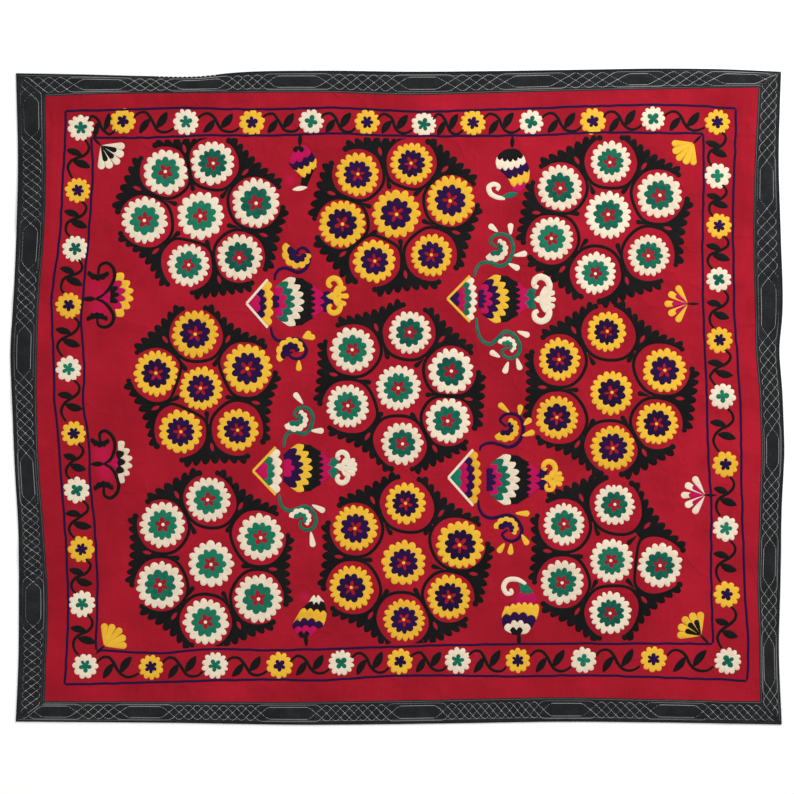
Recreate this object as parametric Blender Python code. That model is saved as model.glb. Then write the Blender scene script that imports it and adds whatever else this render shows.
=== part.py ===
"""A large embroidered panel of the Central Asian kind, laid flat on its back, face up.

Metres, +Z up. The panel lies in X and Y with its top edge towards +Y. The origin is under
its middle, on the surface that it lies on. A red cotton ground is framed by four black
bands, mitred at the corners and seamed to it, and a narrow black braid is sewn round them.
"""

import bmesh
import bpy
import numpy as np
from mathutils import Vector

for old in list(bpy.data.objects):
    bpy.data.objects.remove(old)

MM = 0.001

# Driving dimensions.
GROUND_THICKNESS = 2.0 * MM
BAND_THICKNESS = 2.2 * MM
BRAID_WIDTH = 4.5 * MM
BRAID_THICKNESS = 3.2 * MM
BRAID_SIDE = 0.3
SEAM_GAP = 0.35 * MM
GRID_PITCH = 54 * MM

# Where the four sides run, in mm from the middle of the panel. The cloth is not quite
# square: each row gives a place along the side, the outer edge there and the line where
# the band is seamed to the ground.
EDGE_COLUMNS = ("along", "outer", "seam")
LEVEL_SIDES = ("top", "bottom")
EDGES = {
    "top": (
        (-1220, 1035, 955),
        (-1000, 1031, 966),
        (-800, 1026, 970),
        (-640, 1025, 971),
        (-520, 1037, 972),
        (-250, 1043, 973),
        (50, 1040, 965),
        (300, 1042, 971),
        (620, 1047, 979),
        (830, 1050, 983),
        (1040, 1048, 987),
        (1230, 1040, 990),
    ),
    "bottom": (
        (-1220, -1040, -973),
        (-700, -1044, -975),
        (-300, -1050, -976),
        (130, -1046, -969),
        (550, -1040, -962),
        (800, -1042, -967),
        (1230, -1049, -976),
    ),
    "left": (
        (-1040, -1221, -1131),
        (-860, -1213, -1123),
        (-640, -1211, -1118),
        (-420, -1213, -1131),
        (-230, -1224, -1146),
        (-30, -1232, -1153),
        (150, -1238, -1152),
        (300, -1229, -1146),
        (520, -1219, -1129),
        (720, -1214, -1123),
        (1035, -1220, -1127),
    ),
    "right": (
        (-1050, 1230, 1162),
        (-800, 1221, 1156),
        (-600, 1226, 1152),
        (-360, 1230, 1158),
        (-170, 1238, 1163),
        (40, 1230, 1155),
        (150, 1223, 1146),
        (260, 1232, 1144),
        (520, 1227, 1138),
        (760, 1220, 1143),
        (1040, 1228, 1158),
    ),
}

# The folds that the cloth keeps from being stored: low ridges from one end to the other,
# in mm, each with its rise and how far it reaches to either side.
FOLD_COLUMNS = ("from_x", "from_y", "to_x", "to_y", "rise", "reach")
FOLDS = (
    (250, 530, 1180, 520, 3.0, 75),
    (-1190, 300, -420, 306, 3.5, 75),
    (280, 8, 1200, 2, 4.5, 75),
    (-1200, -4, -760, 4, 3.0, 75),
    (560, -180, 1210, -176, 2.5, 70),
    (-1180, -506, -300, -512, 3.0, 75),
    (480, -508, 1190, -500, 4.0, 75),
    (-1120, 330, -1060, 900, 6.0, 65),
    (-1190, 560, -1150, 900, 4.0, 60),
    (1090, 380, 1130, 930, 6.0, 65),
    (1190, 620, 1200, 900, 4.0, 60),
    (1165, -700, 1050, -985, 7.0, 70),
    (-1110, -860, -1000, -960, 4.0, 70),
)

BLACK_CLOTH = (0.019, 0.020, 0.023, 1.0)
RED_CLOTH = (0.34, 0.016, 0.027, 1.0)


def through(places, values, at):
    """A smooth line through a table's values: a cubic between each pair of places."""
    places = np.asarray(places, float)
    values = np.asarray(values, float)
    slopes = np.gradient(values, places)
    right = int(np.clip(np.searchsorted(places, at), 1, len(places) - 1))
    left = right - 1
    span = places[right] - places[left]
    t = np.clip((at - places[left]) / span, 0.0, 1.0)
    start = (1 + 2 * t) * (1 - t) ** 2 * values[left] + t * (1 - t) ** 2 * span * slopes[left]
    end = t * t * (3 - 2 * t) * values[right] + t * t * (t - 1) * span * slopes[right]
    return start + end


def edge(side, column, at):
    """How far out a side's outer edge or seam lies, in metres, at a place along it."""
    rows = EDGES[side]
    values = [row[EDGE_COLUMNS.index(column)] for row in rows]
    return through([row[0] for row in rows], values, at / MM) * MM


def corner(upright, level, column):
    """Where a left or right side crosses the top or bottom one."""
    x = EDGES[upright][0][EDGE_COLUMNS.index(column)] * MM
    for _ in range(6):
        y = edge(level, column, x)
        x = edge(upright, column, y)
    return Vector((x, y))


def side_point(side, column, share):
    """A point on a side, from its left or bottom corner, 0, to its right or top one, 1."""
    if side in LEVEL_SIDES:
        start, end = (corner(upright, side, column).x for upright in ("left", "right"))
        x = start + (end - start) * share
        return Vector((x, edge(side, column, x)))
    start, end = (corner(side, level, column).y for level in ("bottom", "top"))
    y = start + (end - start) * share
    return Vector((edge(side, column, y), y))


def fold_height(x, y):
    """How high the folds lift the cloth at a place."""
    height = 0.0
    for row in FOLDS:
        fold = {name: value * MM for name, value in zip(FOLD_COLUMNS, row)}
        start = Vector((fold["from_x"], fold["from_y"]))
        run = Vector((fold["to_x"], fold["to_y"])) - start
        offset = Vector((x, y)) - start
        along = np.clip(offset.dot(run) / run.length_squared, 0.0, 1.0)
        away = (offset - run * along).length / fold["reach"]
        if away < 1.0:
            height = max(height, fold["rise"] * np.cos(away * np.pi / 2) ** 2)
    return height


def cloth_object(name, bm, base_color, roughness):
    """Closes a piece's mesh and gives it its material."""
    bmesh.ops.recalc_face_normals(bm, faces=bm.faces)
    mesh = bpy.data.meshes.new(name)
    bm.to_mesh(mesh)
    bm.free()
    mesh.shade_smooth()
    mesh.set_sharp_from_angle(angle=np.radians(40))
    material = bpy.data.materials.new(name)
    material.use_nodes = True
    shader = material.node_tree.nodes["Principled BSDF"]
    shader.inputs["Base Color"].default_value = base_color
    shader.inputs["Roughness"].default_value = roughness
    shader.inputs["Metallic"].default_value = 0.0
    mesh.materials.append(material)
    piece = bpy.data.objects.new(name, mesh)
    bpy.context.collection.objects.link(piece)
    return piece


def unit_grid(columns, rows):
    """A flat grid whose points run from 0 to 1 in X and Y."""
    bm = bmesh.new()
    bmesh.ops.create_grid(bm, x_segments=columns, y_segments=rows, size=0.5)
    bmesh.ops.translate(bm, verts=bm.verts, vec=(0.5, 0.5, 0.0))
    return bm


def thicken(bm, thickness, drawn_in=None):
    """Raises a copy of the sheet by its thickness and joins the two by a rim.

    drawn_in names a layer that says how far the two faces close in on each other there.
    """
    low = bm.verts[:]
    raised = bmesh.ops.extrude_face_region(bm, geom=bm.faces[:], use_keep_orig=True)
    high = [item for item in raised["geom"] if isinstance(item, bmesh.types.BMVert)]
    bmesh.ops.translate(bm, verts=high, vec=(0.0, 0.0, thickness))
    if drawn_in is not None:
        for vert in low:
            vert.co.z += vert[drawn_in]
        for vert in high:
            vert.co.z -= vert[drawn_in]


def grid_counts():
    """How many cells fit along the top and up the left side."""
    across = corner("right", "top", "seam") - corner("left", "top", "seam")
    upwards = corner("left", "top", "seam") - corner("left", "bottom", "seam")
    return round(across.length / GRID_PITCH), round(upwards.length / GRID_PITCH)


def ground():
    """The red cotton ground: one sheet, spread evenly between its four seams."""
    columns, rows = grid_counts()
    bm = unit_grid(columns, rows)
    corners = {
        (level, upright): corner(upright, level, "seam")
        for level in ("bottom", "top")
        for upright in ("left", "right")
    }
    level_points = [
        (side_point("bottom", "seam", i / columns), side_point("top", "seam", i / columns))
        for i in range(columns + 1)
    ]
    upright_points = [
        (side_point("left", "seam", j / rows), side_point("right", "seam", j / rows))
        for j in range(rows + 1)
    ]
    for vert in bm.verts:
        u, v = vert.co.x, vert.co.y
        low, high = level_points[round(u * columns)]
        left, right = upright_points[round(v * rows)]
        lower = corners["bottom", "left"].lerp(corners["bottom", "right"], u)
        upper = corners["top", "left"].lerp(corners["top", "right"], u)
        place = low.lerp(high, v) + left.lerp(right, u) - lower.lerp(upper, v)
        vert.co = (place.x, place.y, fold_height(place.x, place.y))
    thicken(bm, GROUND_THICKNESS)
    return cloth_object("ground", bm, RED_CLOTH, 0.9)


def line_across(side, inner, outer, share):
    """The two ends of a line across a band or braid, kept short of the corners' mitres.

    inner and outer each name a line of the side and how far outwards of it to go.
    """
    outwards = side_point(side, "outer", share) - side_point(side, "seam", share)
    outwards.normalize()
    step = Vector((1.0, 0.0)) if side in LEVEL_SIDES else Vector((0.0, 1.0))
    inset = {0.0: SEAM_GAP, 1.0: -SEAM_GAP}.get(share, 0.0)
    return [
        side_point(side, column, share) + outwards * shift + step * inset
        for column, shift in (inner, outer)
    ]


def strip(side, inner, outer, cells):
    """A grid laid along one side of the panel, between two lines, on the folds."""
    stations = grid_counts()[0 if side in LEVEL_SIDES else 1]
    bm = unit_grid(stations, cells)
    lines = [line_across(side, inner, outer, i / stations) for i in range(stations + 1)]
    for vert in bm.verts:
        first, last = lines[round(vert.co.x * stations)]
        place = first.lerp(last, vert.co.y)
        vert.co = (place.x, place.y, fold_height(place.x, place.y))
    return bm


def band(side):
    """One black band, from its seam with the ground to the braid, mitred at both ends."""
    inner = ("seam", SEAM_GAP)
    outer = ("outer", -BRAID_WIDTH - SEAM_GAP)
    bm = strip(side, inner, outer, 2)
    thicken(bm, BAND_THICKNESS)
    return cloth_object(f"band_{side}", bm, BLACK_CLOTH, 0.85)


def braid(side):
    """The narrow braid along a band's outer edge: a flattened cord, thin at its sides."""
    cells = 3
    bm = strip(side, ("outer", -BRAID_WIDTH), ("outer", 0.0), cells)
    drawn_in = bm.verts.layers.float.new("drawn_in")
    bm.verts.ensure_lookup_table()
    per_line = len(bm.verts) // (cells + 1)
    for index, vert in enumerate(bm.verts):
        if index // per_line in (0, cells):
            vert[drawn_in] = BRAID_THICKNESS * BRAID_SIDE
    thicken(bm, BRAID_THICKNESS, drawn_in)
    return cloth_object(f"braid_{side}", bm, BLACK_CLOTH, 0.8)


ground()
for side in EDGES:
    band(side)
    braid(side)
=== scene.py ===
"""A large embroidered panel of the Central Asian kind, laid flat on its back, face up.

Metres, +Z up, with the panel's top edge towards +Y. Tables of sizes and places are in
millimetres from its middle, and MM turns them into metres.
"""

import bmesh
import bpy
import numpy as np
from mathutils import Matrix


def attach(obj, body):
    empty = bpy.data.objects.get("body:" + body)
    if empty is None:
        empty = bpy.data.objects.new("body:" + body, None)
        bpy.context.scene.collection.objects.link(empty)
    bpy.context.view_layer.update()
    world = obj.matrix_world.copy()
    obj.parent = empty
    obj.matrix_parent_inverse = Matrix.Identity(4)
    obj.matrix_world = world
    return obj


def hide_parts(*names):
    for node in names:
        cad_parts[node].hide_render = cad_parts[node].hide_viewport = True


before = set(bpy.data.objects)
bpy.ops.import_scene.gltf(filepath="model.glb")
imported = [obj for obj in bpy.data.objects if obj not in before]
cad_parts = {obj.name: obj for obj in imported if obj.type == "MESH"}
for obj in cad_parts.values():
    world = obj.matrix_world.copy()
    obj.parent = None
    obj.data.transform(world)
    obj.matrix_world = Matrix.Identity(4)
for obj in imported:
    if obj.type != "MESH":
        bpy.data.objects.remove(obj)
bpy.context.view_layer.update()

# The red ground is one cotton cloth of plain weave, seamed to the black bands all round.
# It keeps low folds from being stored, and short puckers where the seams draw it in.
MM = 0.001
GROUND_THICKNESS = 2.0 * MM
SEAM_GAP = 0.35 * MM
GROUND_PITCH = (8.0 * MM, 13.0 * MM)
RED_COTTON = (0.37, 0.0085, 0.022, 1.0)
SHADED_RED_COTTON = (0.245, 0.005, 0.013, 1.0)

# Where the four sides run. Each row gives a place along the side, the outer edge there and
# the line where the band is seamed to the ground.
EDGE_COLUMNS = ("along", "outer", "seam")
LEVEL_SIDES = ("top", "bottom")
EDGES = {
    "top": (
        (-1220, 1035, 955), (-1000, 1031, 966), (-800, 1026, 970), (-640, 1025, 971),
        (-520, 1037, 972), (-250, 1043, 973), (50, 1040, 965), (300, 1042, 971), (620, 1047, 979),
        (830, 1050, 983), (1040, 1048, 987), (1230, 1040, 990),
    ),
    "bottom": (
        (-1220, -1040, -973), (-700, -1044, -975), (-300, -1050, -976), (130, -1046, -969),
        (550, -1040, -962), (800, -1042, -967), (1230, -1049, -976),
    ),
    "left": (
        (-1040, -1221, -1131), (-860, -1213, -1123), (-640, -1211, -1118), (-420, -1213, -1131),
        (-230, -1224, -1146), (-30, -1232, -1153), (150, -1238, -1152), (300, -1229, -1146),
        (520, -1219, -1129), (720, -1214, -1123), (1035, -1220, -1127),
    ),
    "right": (
        (-1050, 1230, 1162), (-800, 1221, 1156), (-600, 1226, 1152), (-360, 1230, 1158),
        (-170, 1238, 1163), (40, 1230, 1155), (150, 1223, 1146), (260, 1232, 1144),
        (520, 1227, 1138), (760, 1220, 1143), (1040, 1228, 1158),
    ),
}

# Low ridges from one end to the other, each with its rise and its reach to either side.
# The folds are those that the whole cloth lies in; the ripples are the narrow ones on top.
FOLD_COLUMNS = ("from_x", "from_y", "to_x", "to_y", "rise", "reach")
FOLDS = (
    (250, 530, 1180, 520, 3.0, 75), (-1190, 300, -420, 306, 3.5, 75), (280, 8, 1200, 2, 4.5, 75),
    (-1200, -4, -760, 4, 3.0, 75), (560, -180, 1210, -176, 2.5, 70),
    (-1180, -506, -300, -512, 3.0, 75), (480, -508, 1190, -500, 4.0, 75),
    (-1120, 330, -1060, 900, 6.0, 65), (-1190, 560, -1150, 900, 4.0, 60),
    (1090, 380, 1130, 930, 6.0, 65), (1190, 620, 1200, 900, 4.0, 60),
    (1165, -700, 1050, -985, 7.0, 70), (-1110, -860, -1000, -960, 4.0, 70),
)
RIPPLES = (
    (-1112, 520, -1098, 930, 1.6, 16), (-1085, 610, -1075, 900, 1.0, 14),
    (1102, 420, 1118, 700, 1.6, 16), (1128, 560, 1132, 950, 1.4, 15),
    (1096, 720, 1104, 940, 1.0, 14), (1150, -740, 1066, -952, 1.8, 18),
    (1120, -770, 1040, -935, 1.0, 15), (-1040, 932, -1010, 962, 1.2, 15),
    (1096, 905, 1120, 965, 1.2, 15),
)
PUCKER_MARGIN = 30.0
PUCKER_SPACING = (40, 105)
PUCKER_LENGTH = (22, 62)
PUCKER_RISE = (0.5, 1.5)
PUCKER_REACH = (13, 17)


def through(places, values, at):
    """A smooth line through a table's values: a cubic between each pair of places."""
    places = np.asarray(places, float)
    values = np.asarray(values, float)
    at = np.asarray(at, float)
    slopes = np.gradient(values, places)
    right = np.clip(np.searchsorted(places, at), 1, len(places) - 1)
    left = right - 1
    span = places[right] - places[left]
    t = np.clip((at - places[left]) / span, 0.0, 1.0)
    start = (1 + 2 * t) * (1 - t) ** 2 * values[left] + t * (1 - t) ** 2 * span * slopes[left]
    end = t * t * (3 - 2 * t) * values[right] + t * t * (t - 1) * span * slopes[right]
    return start + end


def edge(side, column, at):
    """How far out a side's outer edge or seam lies, in metres, at places along it."""
    rows = EDGES[side]
    values = [row[EDGE_COLUMNS.index(column)] for row in rows]
    return through([row[0] for row in rows], values, np.asarray(at) / MM) * MM


def corner(upright, level, column):
    """Where a left or right side crosses the top or bottom one."""
    x = EDGES[upright][0][EDGE_COLUMNS.index(column)] * MM
    for _ in range(6):
        y = edge(level, column, x)
        x = edge(upright, column, y)
    return np.array([x, y])


def axis_of(side):
    """Which coordinate runs along a side."""
    return 0 if side in LEVEL_SIDES else 1


def laid_out(side, along, out):
    """Places on the panel, from how far along a side and how far out they lie."""
    return np.stack([along, out] if side in LEVEL_SIDES else [out, along], axis=-1)


def side_points(side, column, shares):
    """Points on a side, from its left or bottom corner, 0, to its right or top one, 1."""
    if side in LEVEL_SIDES:
        first, last = (corner(upright, side, column)[0] for upright in ("left", "right"))
    else:
        first, last = (corner(side, level, column)[1] for level in ("bottom", "top"))
    along = first + (last - first) * shares
    return laid_out(side, along, edge(side, column, along))


def ridge(places, row):
    """How high one fold lifts the cloth at places on it."""
    fold = {name: value * MM for name, value in zip(FOLD_COLUMNS, row)}
    start = np.array([fold["from_x"], fold["from_y"]])
    run = np.array([fold["to_x"], fold["to_y"]]) - start
    offset = places - start
    along = np.clip(offset @ run / (run @ run), 0.0, 1.0)
    away = np.linalg.norm(offset - along[:, None] * run, axis=1) / fold["reach"]
    return fold["rise"] * np.cos(np.minimum(away, 1.0) * np.pi / 2) ** 2


def seam_puckers():
    """Short ripples that run in from the top and bottom seams, unevenly spaced."""
    dice = np.random.default_rng(4)
    rows = []
    for side, inwards in (("top", -1), ("bottom", 1)):
        x = EDGES["left"][0][2] + PUCKER_MARGIN
        while x < EDGES["right"][0][2] - PUCKER_MARGIN:
            seam = edge(side, "seam", x * MM) / MM
            length = dice.uniform(*PUCKER_LENGTH)
            lean = dice.uniform(-12, 12)
            start = seam + inwards * dice.uniform(2, 10)
            end = start + inwards * length
            rise = dice.uniform(*PUCKER_RISE)
            rows.append((x, start, x + lean, end, rise, dice.uniform(*PUCKER_REACH)))
            x += dice.uniform(*PUCKER_SPACING)
    return rows


PUCKERS = (*RIPPLES, *seam_puckers())
RUMPLE_RISE = 0.05 * MM
RUMPLE_WAVES = 12


def rumple(places):
    """The slight unevenness of a cloth that was never quite flat."""
    dice = np.random.default_rng(9)
    height = np.zeros(len(places))
    for _ in range(RUMPLE_WAVES):
        turn = dice.uniform(0, np.pi)
        length = dice.uniform(0.07, 0.26)
        run = places @ np.array([np.cos(turn), np.sin(turn)])
        height += RUMPLE_RISE * (1 + np.sin(run / length * 2 * np.pi + dice.uniform(0, 6)))
    return height


def cloth_height(places):
    """How high the cloth's underside lies over the surface at places on it."""
    height = np.zeros(len(places))
    for row in FOLDS:
        height = np.maximum(height, ridge(places, row))
    for row in PUCKERS:
        height += ridge(places, row)
    return height + rumple(places)


def unit_grid(columns, rows):
    """A grid whose points run from 0 to 1, and their two shares, row by row."""
    bm = bmesh.new()
    bmesh.ops.create_grid(bm, x_segments=columns, y_segments=rows, size=0.5)
    u, v = np.meshgrid(np.linspace(0, 1, columns + 1), np.linspace(0, 1, rows + 1))
    return bm, u.ravel(), v.ravel()


def place_points(verts, places, heights):
    """Moves a grid's points to their places on the panel."""
    for vert, (x, y), z in zip(verts, places, heights):
        vert.co = (x, y, z)


def thicken(bm, thicknesses):
    """Raises a copy of the sheet by its thickness at each point and joins the two by a rim."""
    thickness = bm.verts.layers.float.new("thickness")
    for vert, value in zip(bm.verts, thicknesses):
        vert[thickness] = value
    raised = bmesh.ops.extrude_face_region(bm, geom=bm.faces[:], use_keep_orig=True)
    for item in raised["geom"]:
        if isinstance(item, bmesh.types.BMVert):
            item.co.z += item[thickness]
    bm.verts.layers.float.remove(thickness)


def linked(name, data):
    """A new object in the scene, at its origin."""
    piece = bpy.data.objects.new(name, data)
    bpy.context.collection.objects.link(piece)
    return piece


def finished(name, bm, finish):
    """Closes a piece's mesh, gives it its material and fixes it to the panel."""
    bmesh.ops.recalc_face_normals(bm, faces=bm.faces)
    mesh = bpy.data.meshes.new(name)
    bm.to_mesh(mesh)
    bm.free()
    mesh.shade_smooth()
    mesh.set_sharp_from_angle(angle=np.radians(50))
    mesh.materials.append(finish.material)
    piece = linked(name, mesh)
    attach(piece, "root")
    return piece


class Signal:
    """A value on its way through a material; sums and products of it add Math nodes."""

    def __init__(self, finish, node, output=0):
        self.finish = finish
        self.owner = node
        self.socket = node.outputs[output]

    def other(self, output):
        """Another output of the same node."""
        return Signal(self.finish, self.owner, output)

    def maths(self, operation, *values):
        return self.finish.node(
            "ShaderNodeMath", {"operation": operation}, dict(enumerate(values))
        )

    def __add__(self, value):
        return self.maths("ADD", self, value)

    __radd__ = __add__

    def __sub__(self, value):
        return self.maths("SUBTRACT", self, value)

    def __rsub__(self, value):
        return self.maths("SUBTRACT", value, self)

    def __mul__(self, value):
        return self.maths("MULTIPLY", self, value)

    __rmul__ = __mul__

    def __truediv__(self, value):
        return self.maths("DIVIDE", self, value)

    def __pow__(self, value):
        return self.maths("POWER", self, value)

    def __abs__(self):
        return self.maths("ABSOLUTE", self)

    def sine(self):
        return self.maths("SINE", self)

    def whole(self):
        return self.maths("FLOOR", self)

    def part(self):
        return self.maths("FRACT", self)


class Finish:
    """The material of a cloth or thread, and the means to add nodes to it."""

    def __init__(self, name, roughness, sheen=0.0):
        self.material = bpy.data.materials.new(name)
        self.material.use_nodes = True
        self.tree = self.material.node_tree
        self.shader = self.tree.nodes["Principled BSDF"]
        self.shader.inputs["Roughness"].default_value = roughness
        self.shader.inputs["Sheen Weight"].default_value = sheen
        self.shader.inputs["Sheen Roughness"].default_value = 0.4
        self.shader.inputs["Specular IOR Level"].default_value = 0.08

    def join(self, socket, value):
        if isinstance(value, Signal):
            self.tree.links.new(value.socket, socket)
        else:
            socket.default_value = value

    def node(self, kind, settings=None, sockets=None, output=0):
        node = self.tree.nodes.new(kind)
        for name, value in (settings or {}).items():
            setattr(node, name, value)
        for name, value in (sockets or {}).items():
            self.join(node.inputs[name], value)
        return Signal(self, node, output)

    def places(self, scale=(1.0, 1.0, 1.0)):
        """The place on the panel, in metres, stretched by a scale."""
        where = self.node("ShaderNodeTexCoord", output="Object")
        return self.node("ShaderNodeMapping", sockets={"Vector": where, "Scale": scale})

    def noise(self, where, scale, detail=2.0):
        sockets = {"Vector": where, "Scale": scale, "Detail": detail}
        return self.node("ShaderNodeTexNoise", sockets=sockets)

    def between(self, value, low, high):
        """0 below one value, 1 above another, and smooth from one to the other."""
        sockets = {"Value": value, "From Min": low, "From Max": high}
        return self.node("ShaderNodeMapRange", {"interpolation_type": "SMOOTHSTEP"}, sockets)

    def blend(self, first, second, share):
        """A colour between two others."""
        sockets = {0: share, 6: first, 7: second}
        return self.node("ShaderNodeMix", {"data_type": "RGBA"}, sockets, output=2)

    def show(self, color, height):
        """Gives the surface its colour, and its relief from a height in metres."""
        self.join(self.shader.inputs["Base Color"], color)
        bump = self.node("ShaderNodeBump", sockets={"Height": height, "Distance": 1.0})
        self.join(self.shader.inputs["Normal"], bump)
        return self


def woven(finish, pitch, depth):
    """The height of a plain weave, thread over thread."""
    where = finish.node("ShaderNodeSeparateXYZ", sockets={0: finish.places()})
    turns = 2 * np.pi / pitch
    return (where * turns).sine() * (where.other("Y") * turns).sine() * depth


# Where the magenta thread's dye has run into the cloth, and how far it spread.
DYE_RUNS = (
    (-958, 345, 85), (-950, 270, 75), (-940, -180, 75), (-930, -250, 70), (-255, 300, 65),
    (405, 312, 62), (-235, -232, 62), (432, -268, 62), (-343, 693, 44), (-296, -642, 42),
)
RUN_DYE = (0.42, 0.006, 0.048, 1.0)


def red_cotton():
    """Plain-woven red cotton with slubs in both directions and fine creases."""
    finish = Finish("red_cotton", 0.88, sheen=0.02)
    weft = finish.noise(finish.places((11.0, 260.0, 1.0)), 1.0)
    warp = finish.noise(finish.places((280.0, 9.0, 1.0)), 1.0)
    mottle = finish.noise(finish.places(), 6.0, detail=6.0)
    fading = finish.noise(finish.places(), 1.3, detail=1.0)
    shade = weft * 0.16 + warp * 0.16 + mottle * 0.6 + fading * 0.35
    shade = finish.between(shade, 0.40, 0.86)
    color = finish.blend(SHADED_RED_COTTON, RED_COTTON, shade)
    stain = 0.0
    for x, y, reach in DYE_RUNS:
        spot = {0: finish.places(), 1: (x * MM, y * MM, 0.0)}
        away = finish.node("ShaderNodeVectorMath", {"operation": "DISTANCE"}, spot, output=1)
        stain = finish.between(away + mottle * 0.04, (reach + 20) * MM, 15 * MM) + stain
    color = finish.blend(color, RUN_DYE, finish.between(stain * mottle, 0.12, 0.6))
    folds = finish.noise(finish.places(), 5.0, detail=3.0)
    creases = (1 - abs(folds * 2 - 1)) ** 14
    height = creases * (2.0 * MM) + woven(finish, 0.9 * MM, 0.06 * MM) + mottle * (5.0 * MM)
    return finish.show(color, height)


def ground_cloth():
    """The ground's sheet, spread evenly between its four seams."""
    width = np.linalg.norm(corner("right", "top", "seam") - corner("left", "top", "seam"))
    height = np.linalg.norm(corner("left", "top", "seam") - corner("left", "bottom", "seam"))
    columns, rows = round(width / GROUND_PITCH[0]), round(height / GROUND_PITCH[1])
    bm, u, v = unit_grid(columns, rows)
    low, high = (side_points(side, "seam", u) for side in ("bottom", "top"))
    left, right = (side_points(side, "seam", v) for side in ("left", "right"))
    u, v = u[:, None], v[:, None]
    lower = corner("left", "bottom", "seam") * (1 - u) + corner("right", "bottom", "seam") * u
    upper = corner("left", "top", "seam") * (1 - u) + corner("right", "top", "seam") * u
    places = low * (1 - v) + high * v + left * (1 - u) + right * u
    places = places - lower * (1 - v) - upper * v
    place_points(bm.verts, places, cloth_height(places))
    thicken(bm, np.full(len(places), GROUND_THICKNESS))
    cloth = finished("ground_cloth", bm, red_cotton())
    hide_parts("ground")


ground_cloth()

# Four bands of black cotton frame the ground, mitred at the corners. Each is a folded strip,
# thicker where its edges are turned in, and quilted by machine in lattices and long lozenges.
BAND_THICKNESS = 2.2 * MM
BRAID_WIDTH = 4.5 * MM
BAND_CELL = 5.5 * MM
BAND_ROWS = 16
BLACK_COTTON = (0.010, 0.011, 0.012, 1.0)
FADED_BLACK_COTTON = (0.027, 0.028, 0.030, 1.0)
PUFF_RISE = 1.0 * MM
PUFF_REACH = 9.0 * MM
EDGE_DROP = 1.1 * MM
TURNED_EDGE = 2.5 * MM
SEAM_TIGHTNESS = 1.6
WORN_EDGE = 9.0 * MM

# Where each side's long lozenges start and end, and how far apart the lattice between them
# turns. Shares run from -1 at the seam to 1 at the outer edge.
LOZENGES = {
    "top": (
        (-1006, -887), (-692, -571), (-388, -257), (34, 127), (377, 489), (738, 805),
        (1045, 1148),
    ),
    "bottom": ((-1140, -1051), (-862, -753), (-414, -283), (5, 124), (489, 594), (834, 956)),
    "left": ((-715, -612), (-318, -203), (85, 204), (428, 533), (850, 946)),
    "right": ((-910, -795), (-580, -481), (-219, -129), (223, 351), (629, 729)),
}
LATTICE_TURN = {"top": 72, "bottom": 55, "left": 53, "right": 67}
LATTICE_SHARE = 0.78
OUTER_SHARE = 0.72
INNER_SHARE = 0.52
EDGE_SEAMS = {"outer": (7, 13.5), "seam": (4.5, 12)}


def mitre(side, shares):
    """Where the two mitres cut a band's side, at shares of its width."""
    ends = []
    for share in (0.0, 1.0):
        seam, outer = (side_points(side, name, share) for name in ("seam", "outer"))
        axis = axis_of(side)
        ends.append(seam[axis] + (outer[axis] - seam[axis]) * (0.5 + 0.5 * shares))
    return ends


def on_band(side, along, shares):
    """Places on a band, from how far along its side and across it they lie."""
    seam, outer = edge(side, "seam", along), edge(side, "outer", along)
    return laid_out(side, along, seam + (outer - seam) * (0.5 + 0.5 * shares))


def turning_points(start, stop, turn, share, last_share):
    """One thread's turning points across a lattice, and the share at which it leaves."""
    count = max(1, round((stop - start) / turn))
    places = [start + (stop - start) * (k + 1) / count for k in range(count)]
    shares = [share / abs(share) * LATTICE_SHARE * (-1) ** (k + 1) for k in range(count)]
    shares[-1] *= last_share / LATTICE_SHARE
    return places, shares


def quilting_lines(side):
    """The four threads that quilt a band, each as places along it and shares across it."""
    turn = LATTICE_TURN[side] * MM
    spans = [(start * MM, stop * MM) for start, stop in LOZENGES[side]]
    first, last = (ends[k] for ends, k in zip(mitre(side, np.array([1.0, 1.0])), (0, 1)))
    lead = np.ceil((spans[0][0] - first) / turn + 1) * turn
    tail = np.ceil((last - spans[-1][1]) / turn + 1) * turn
    starts = [spans[0][0] - lead] + [stop for _, stop in spans]
    stops = [start for start, _ in spans] + [spans[-1][1] + tail]
    lines = []
    for resting, delay in ((INNER_SHARE, 0.0), (OUTER_SHARE, 0.5)):
        for share in (resting, -resting):
            places, shares = [], []
            for start, stop in zip(starts, stops):
                wait = (stop - start) / max(1, round((stop - start) / turn)) * delay
                places.append(start + wait)
                shares.append(share)
                more = turning_points(start + wait, stop - wait, turn, share, resting)
                places += more[0]
                shares += more[1]
                share = shares[-1]
            lines.append((np.array(places), np.array(shares)))
    return lines


QUILTING = {side: quilting_lines(side) for side in EDGES}
SLOPE_STEP = 1.0 * MM
TURN_ROUNDING = 7.0 * MM


def rounded(along, places, shares):
    """A quilting thread's share of the way across, with its turns rounded off."""
    around = [np.interp(along + step * TURN_ROUNDING, places, shares) for step in (-1, 0, 1)]
    return (around[0] + around[1] + around[2]) / 3


def puff(side, along, shares, half_width):
    """How far the cloth stands up between the quilting threads."""
    nearest = np.full(len(along), PUFF_REACH)
    for places, line in QUILTING[side]:
        here = rounded(along, places, line)
        slope = (rounded(along + SLOPE_STEP, places, line) - here) * half_width / SLOPE_STEP
        nearest = np.minimum(nearest, abs(shares - here) * half_width / np.hypot(1.0, slope))
    for column, sign in (("outer", 1), ("seam", -1)):
        from_edge = half_width * (1 - sign * shares)
        for away in EDGE_SEAMS[column]:
            nearest = np.minimum(nearest, abs(from_edge - away * MM) * SEAM_TIGHTNESS)
    return PUFF_RISE * np.sin(np.clip(nearest / PUFF_REACH, 0, 1) * np.pi / 2)


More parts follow.
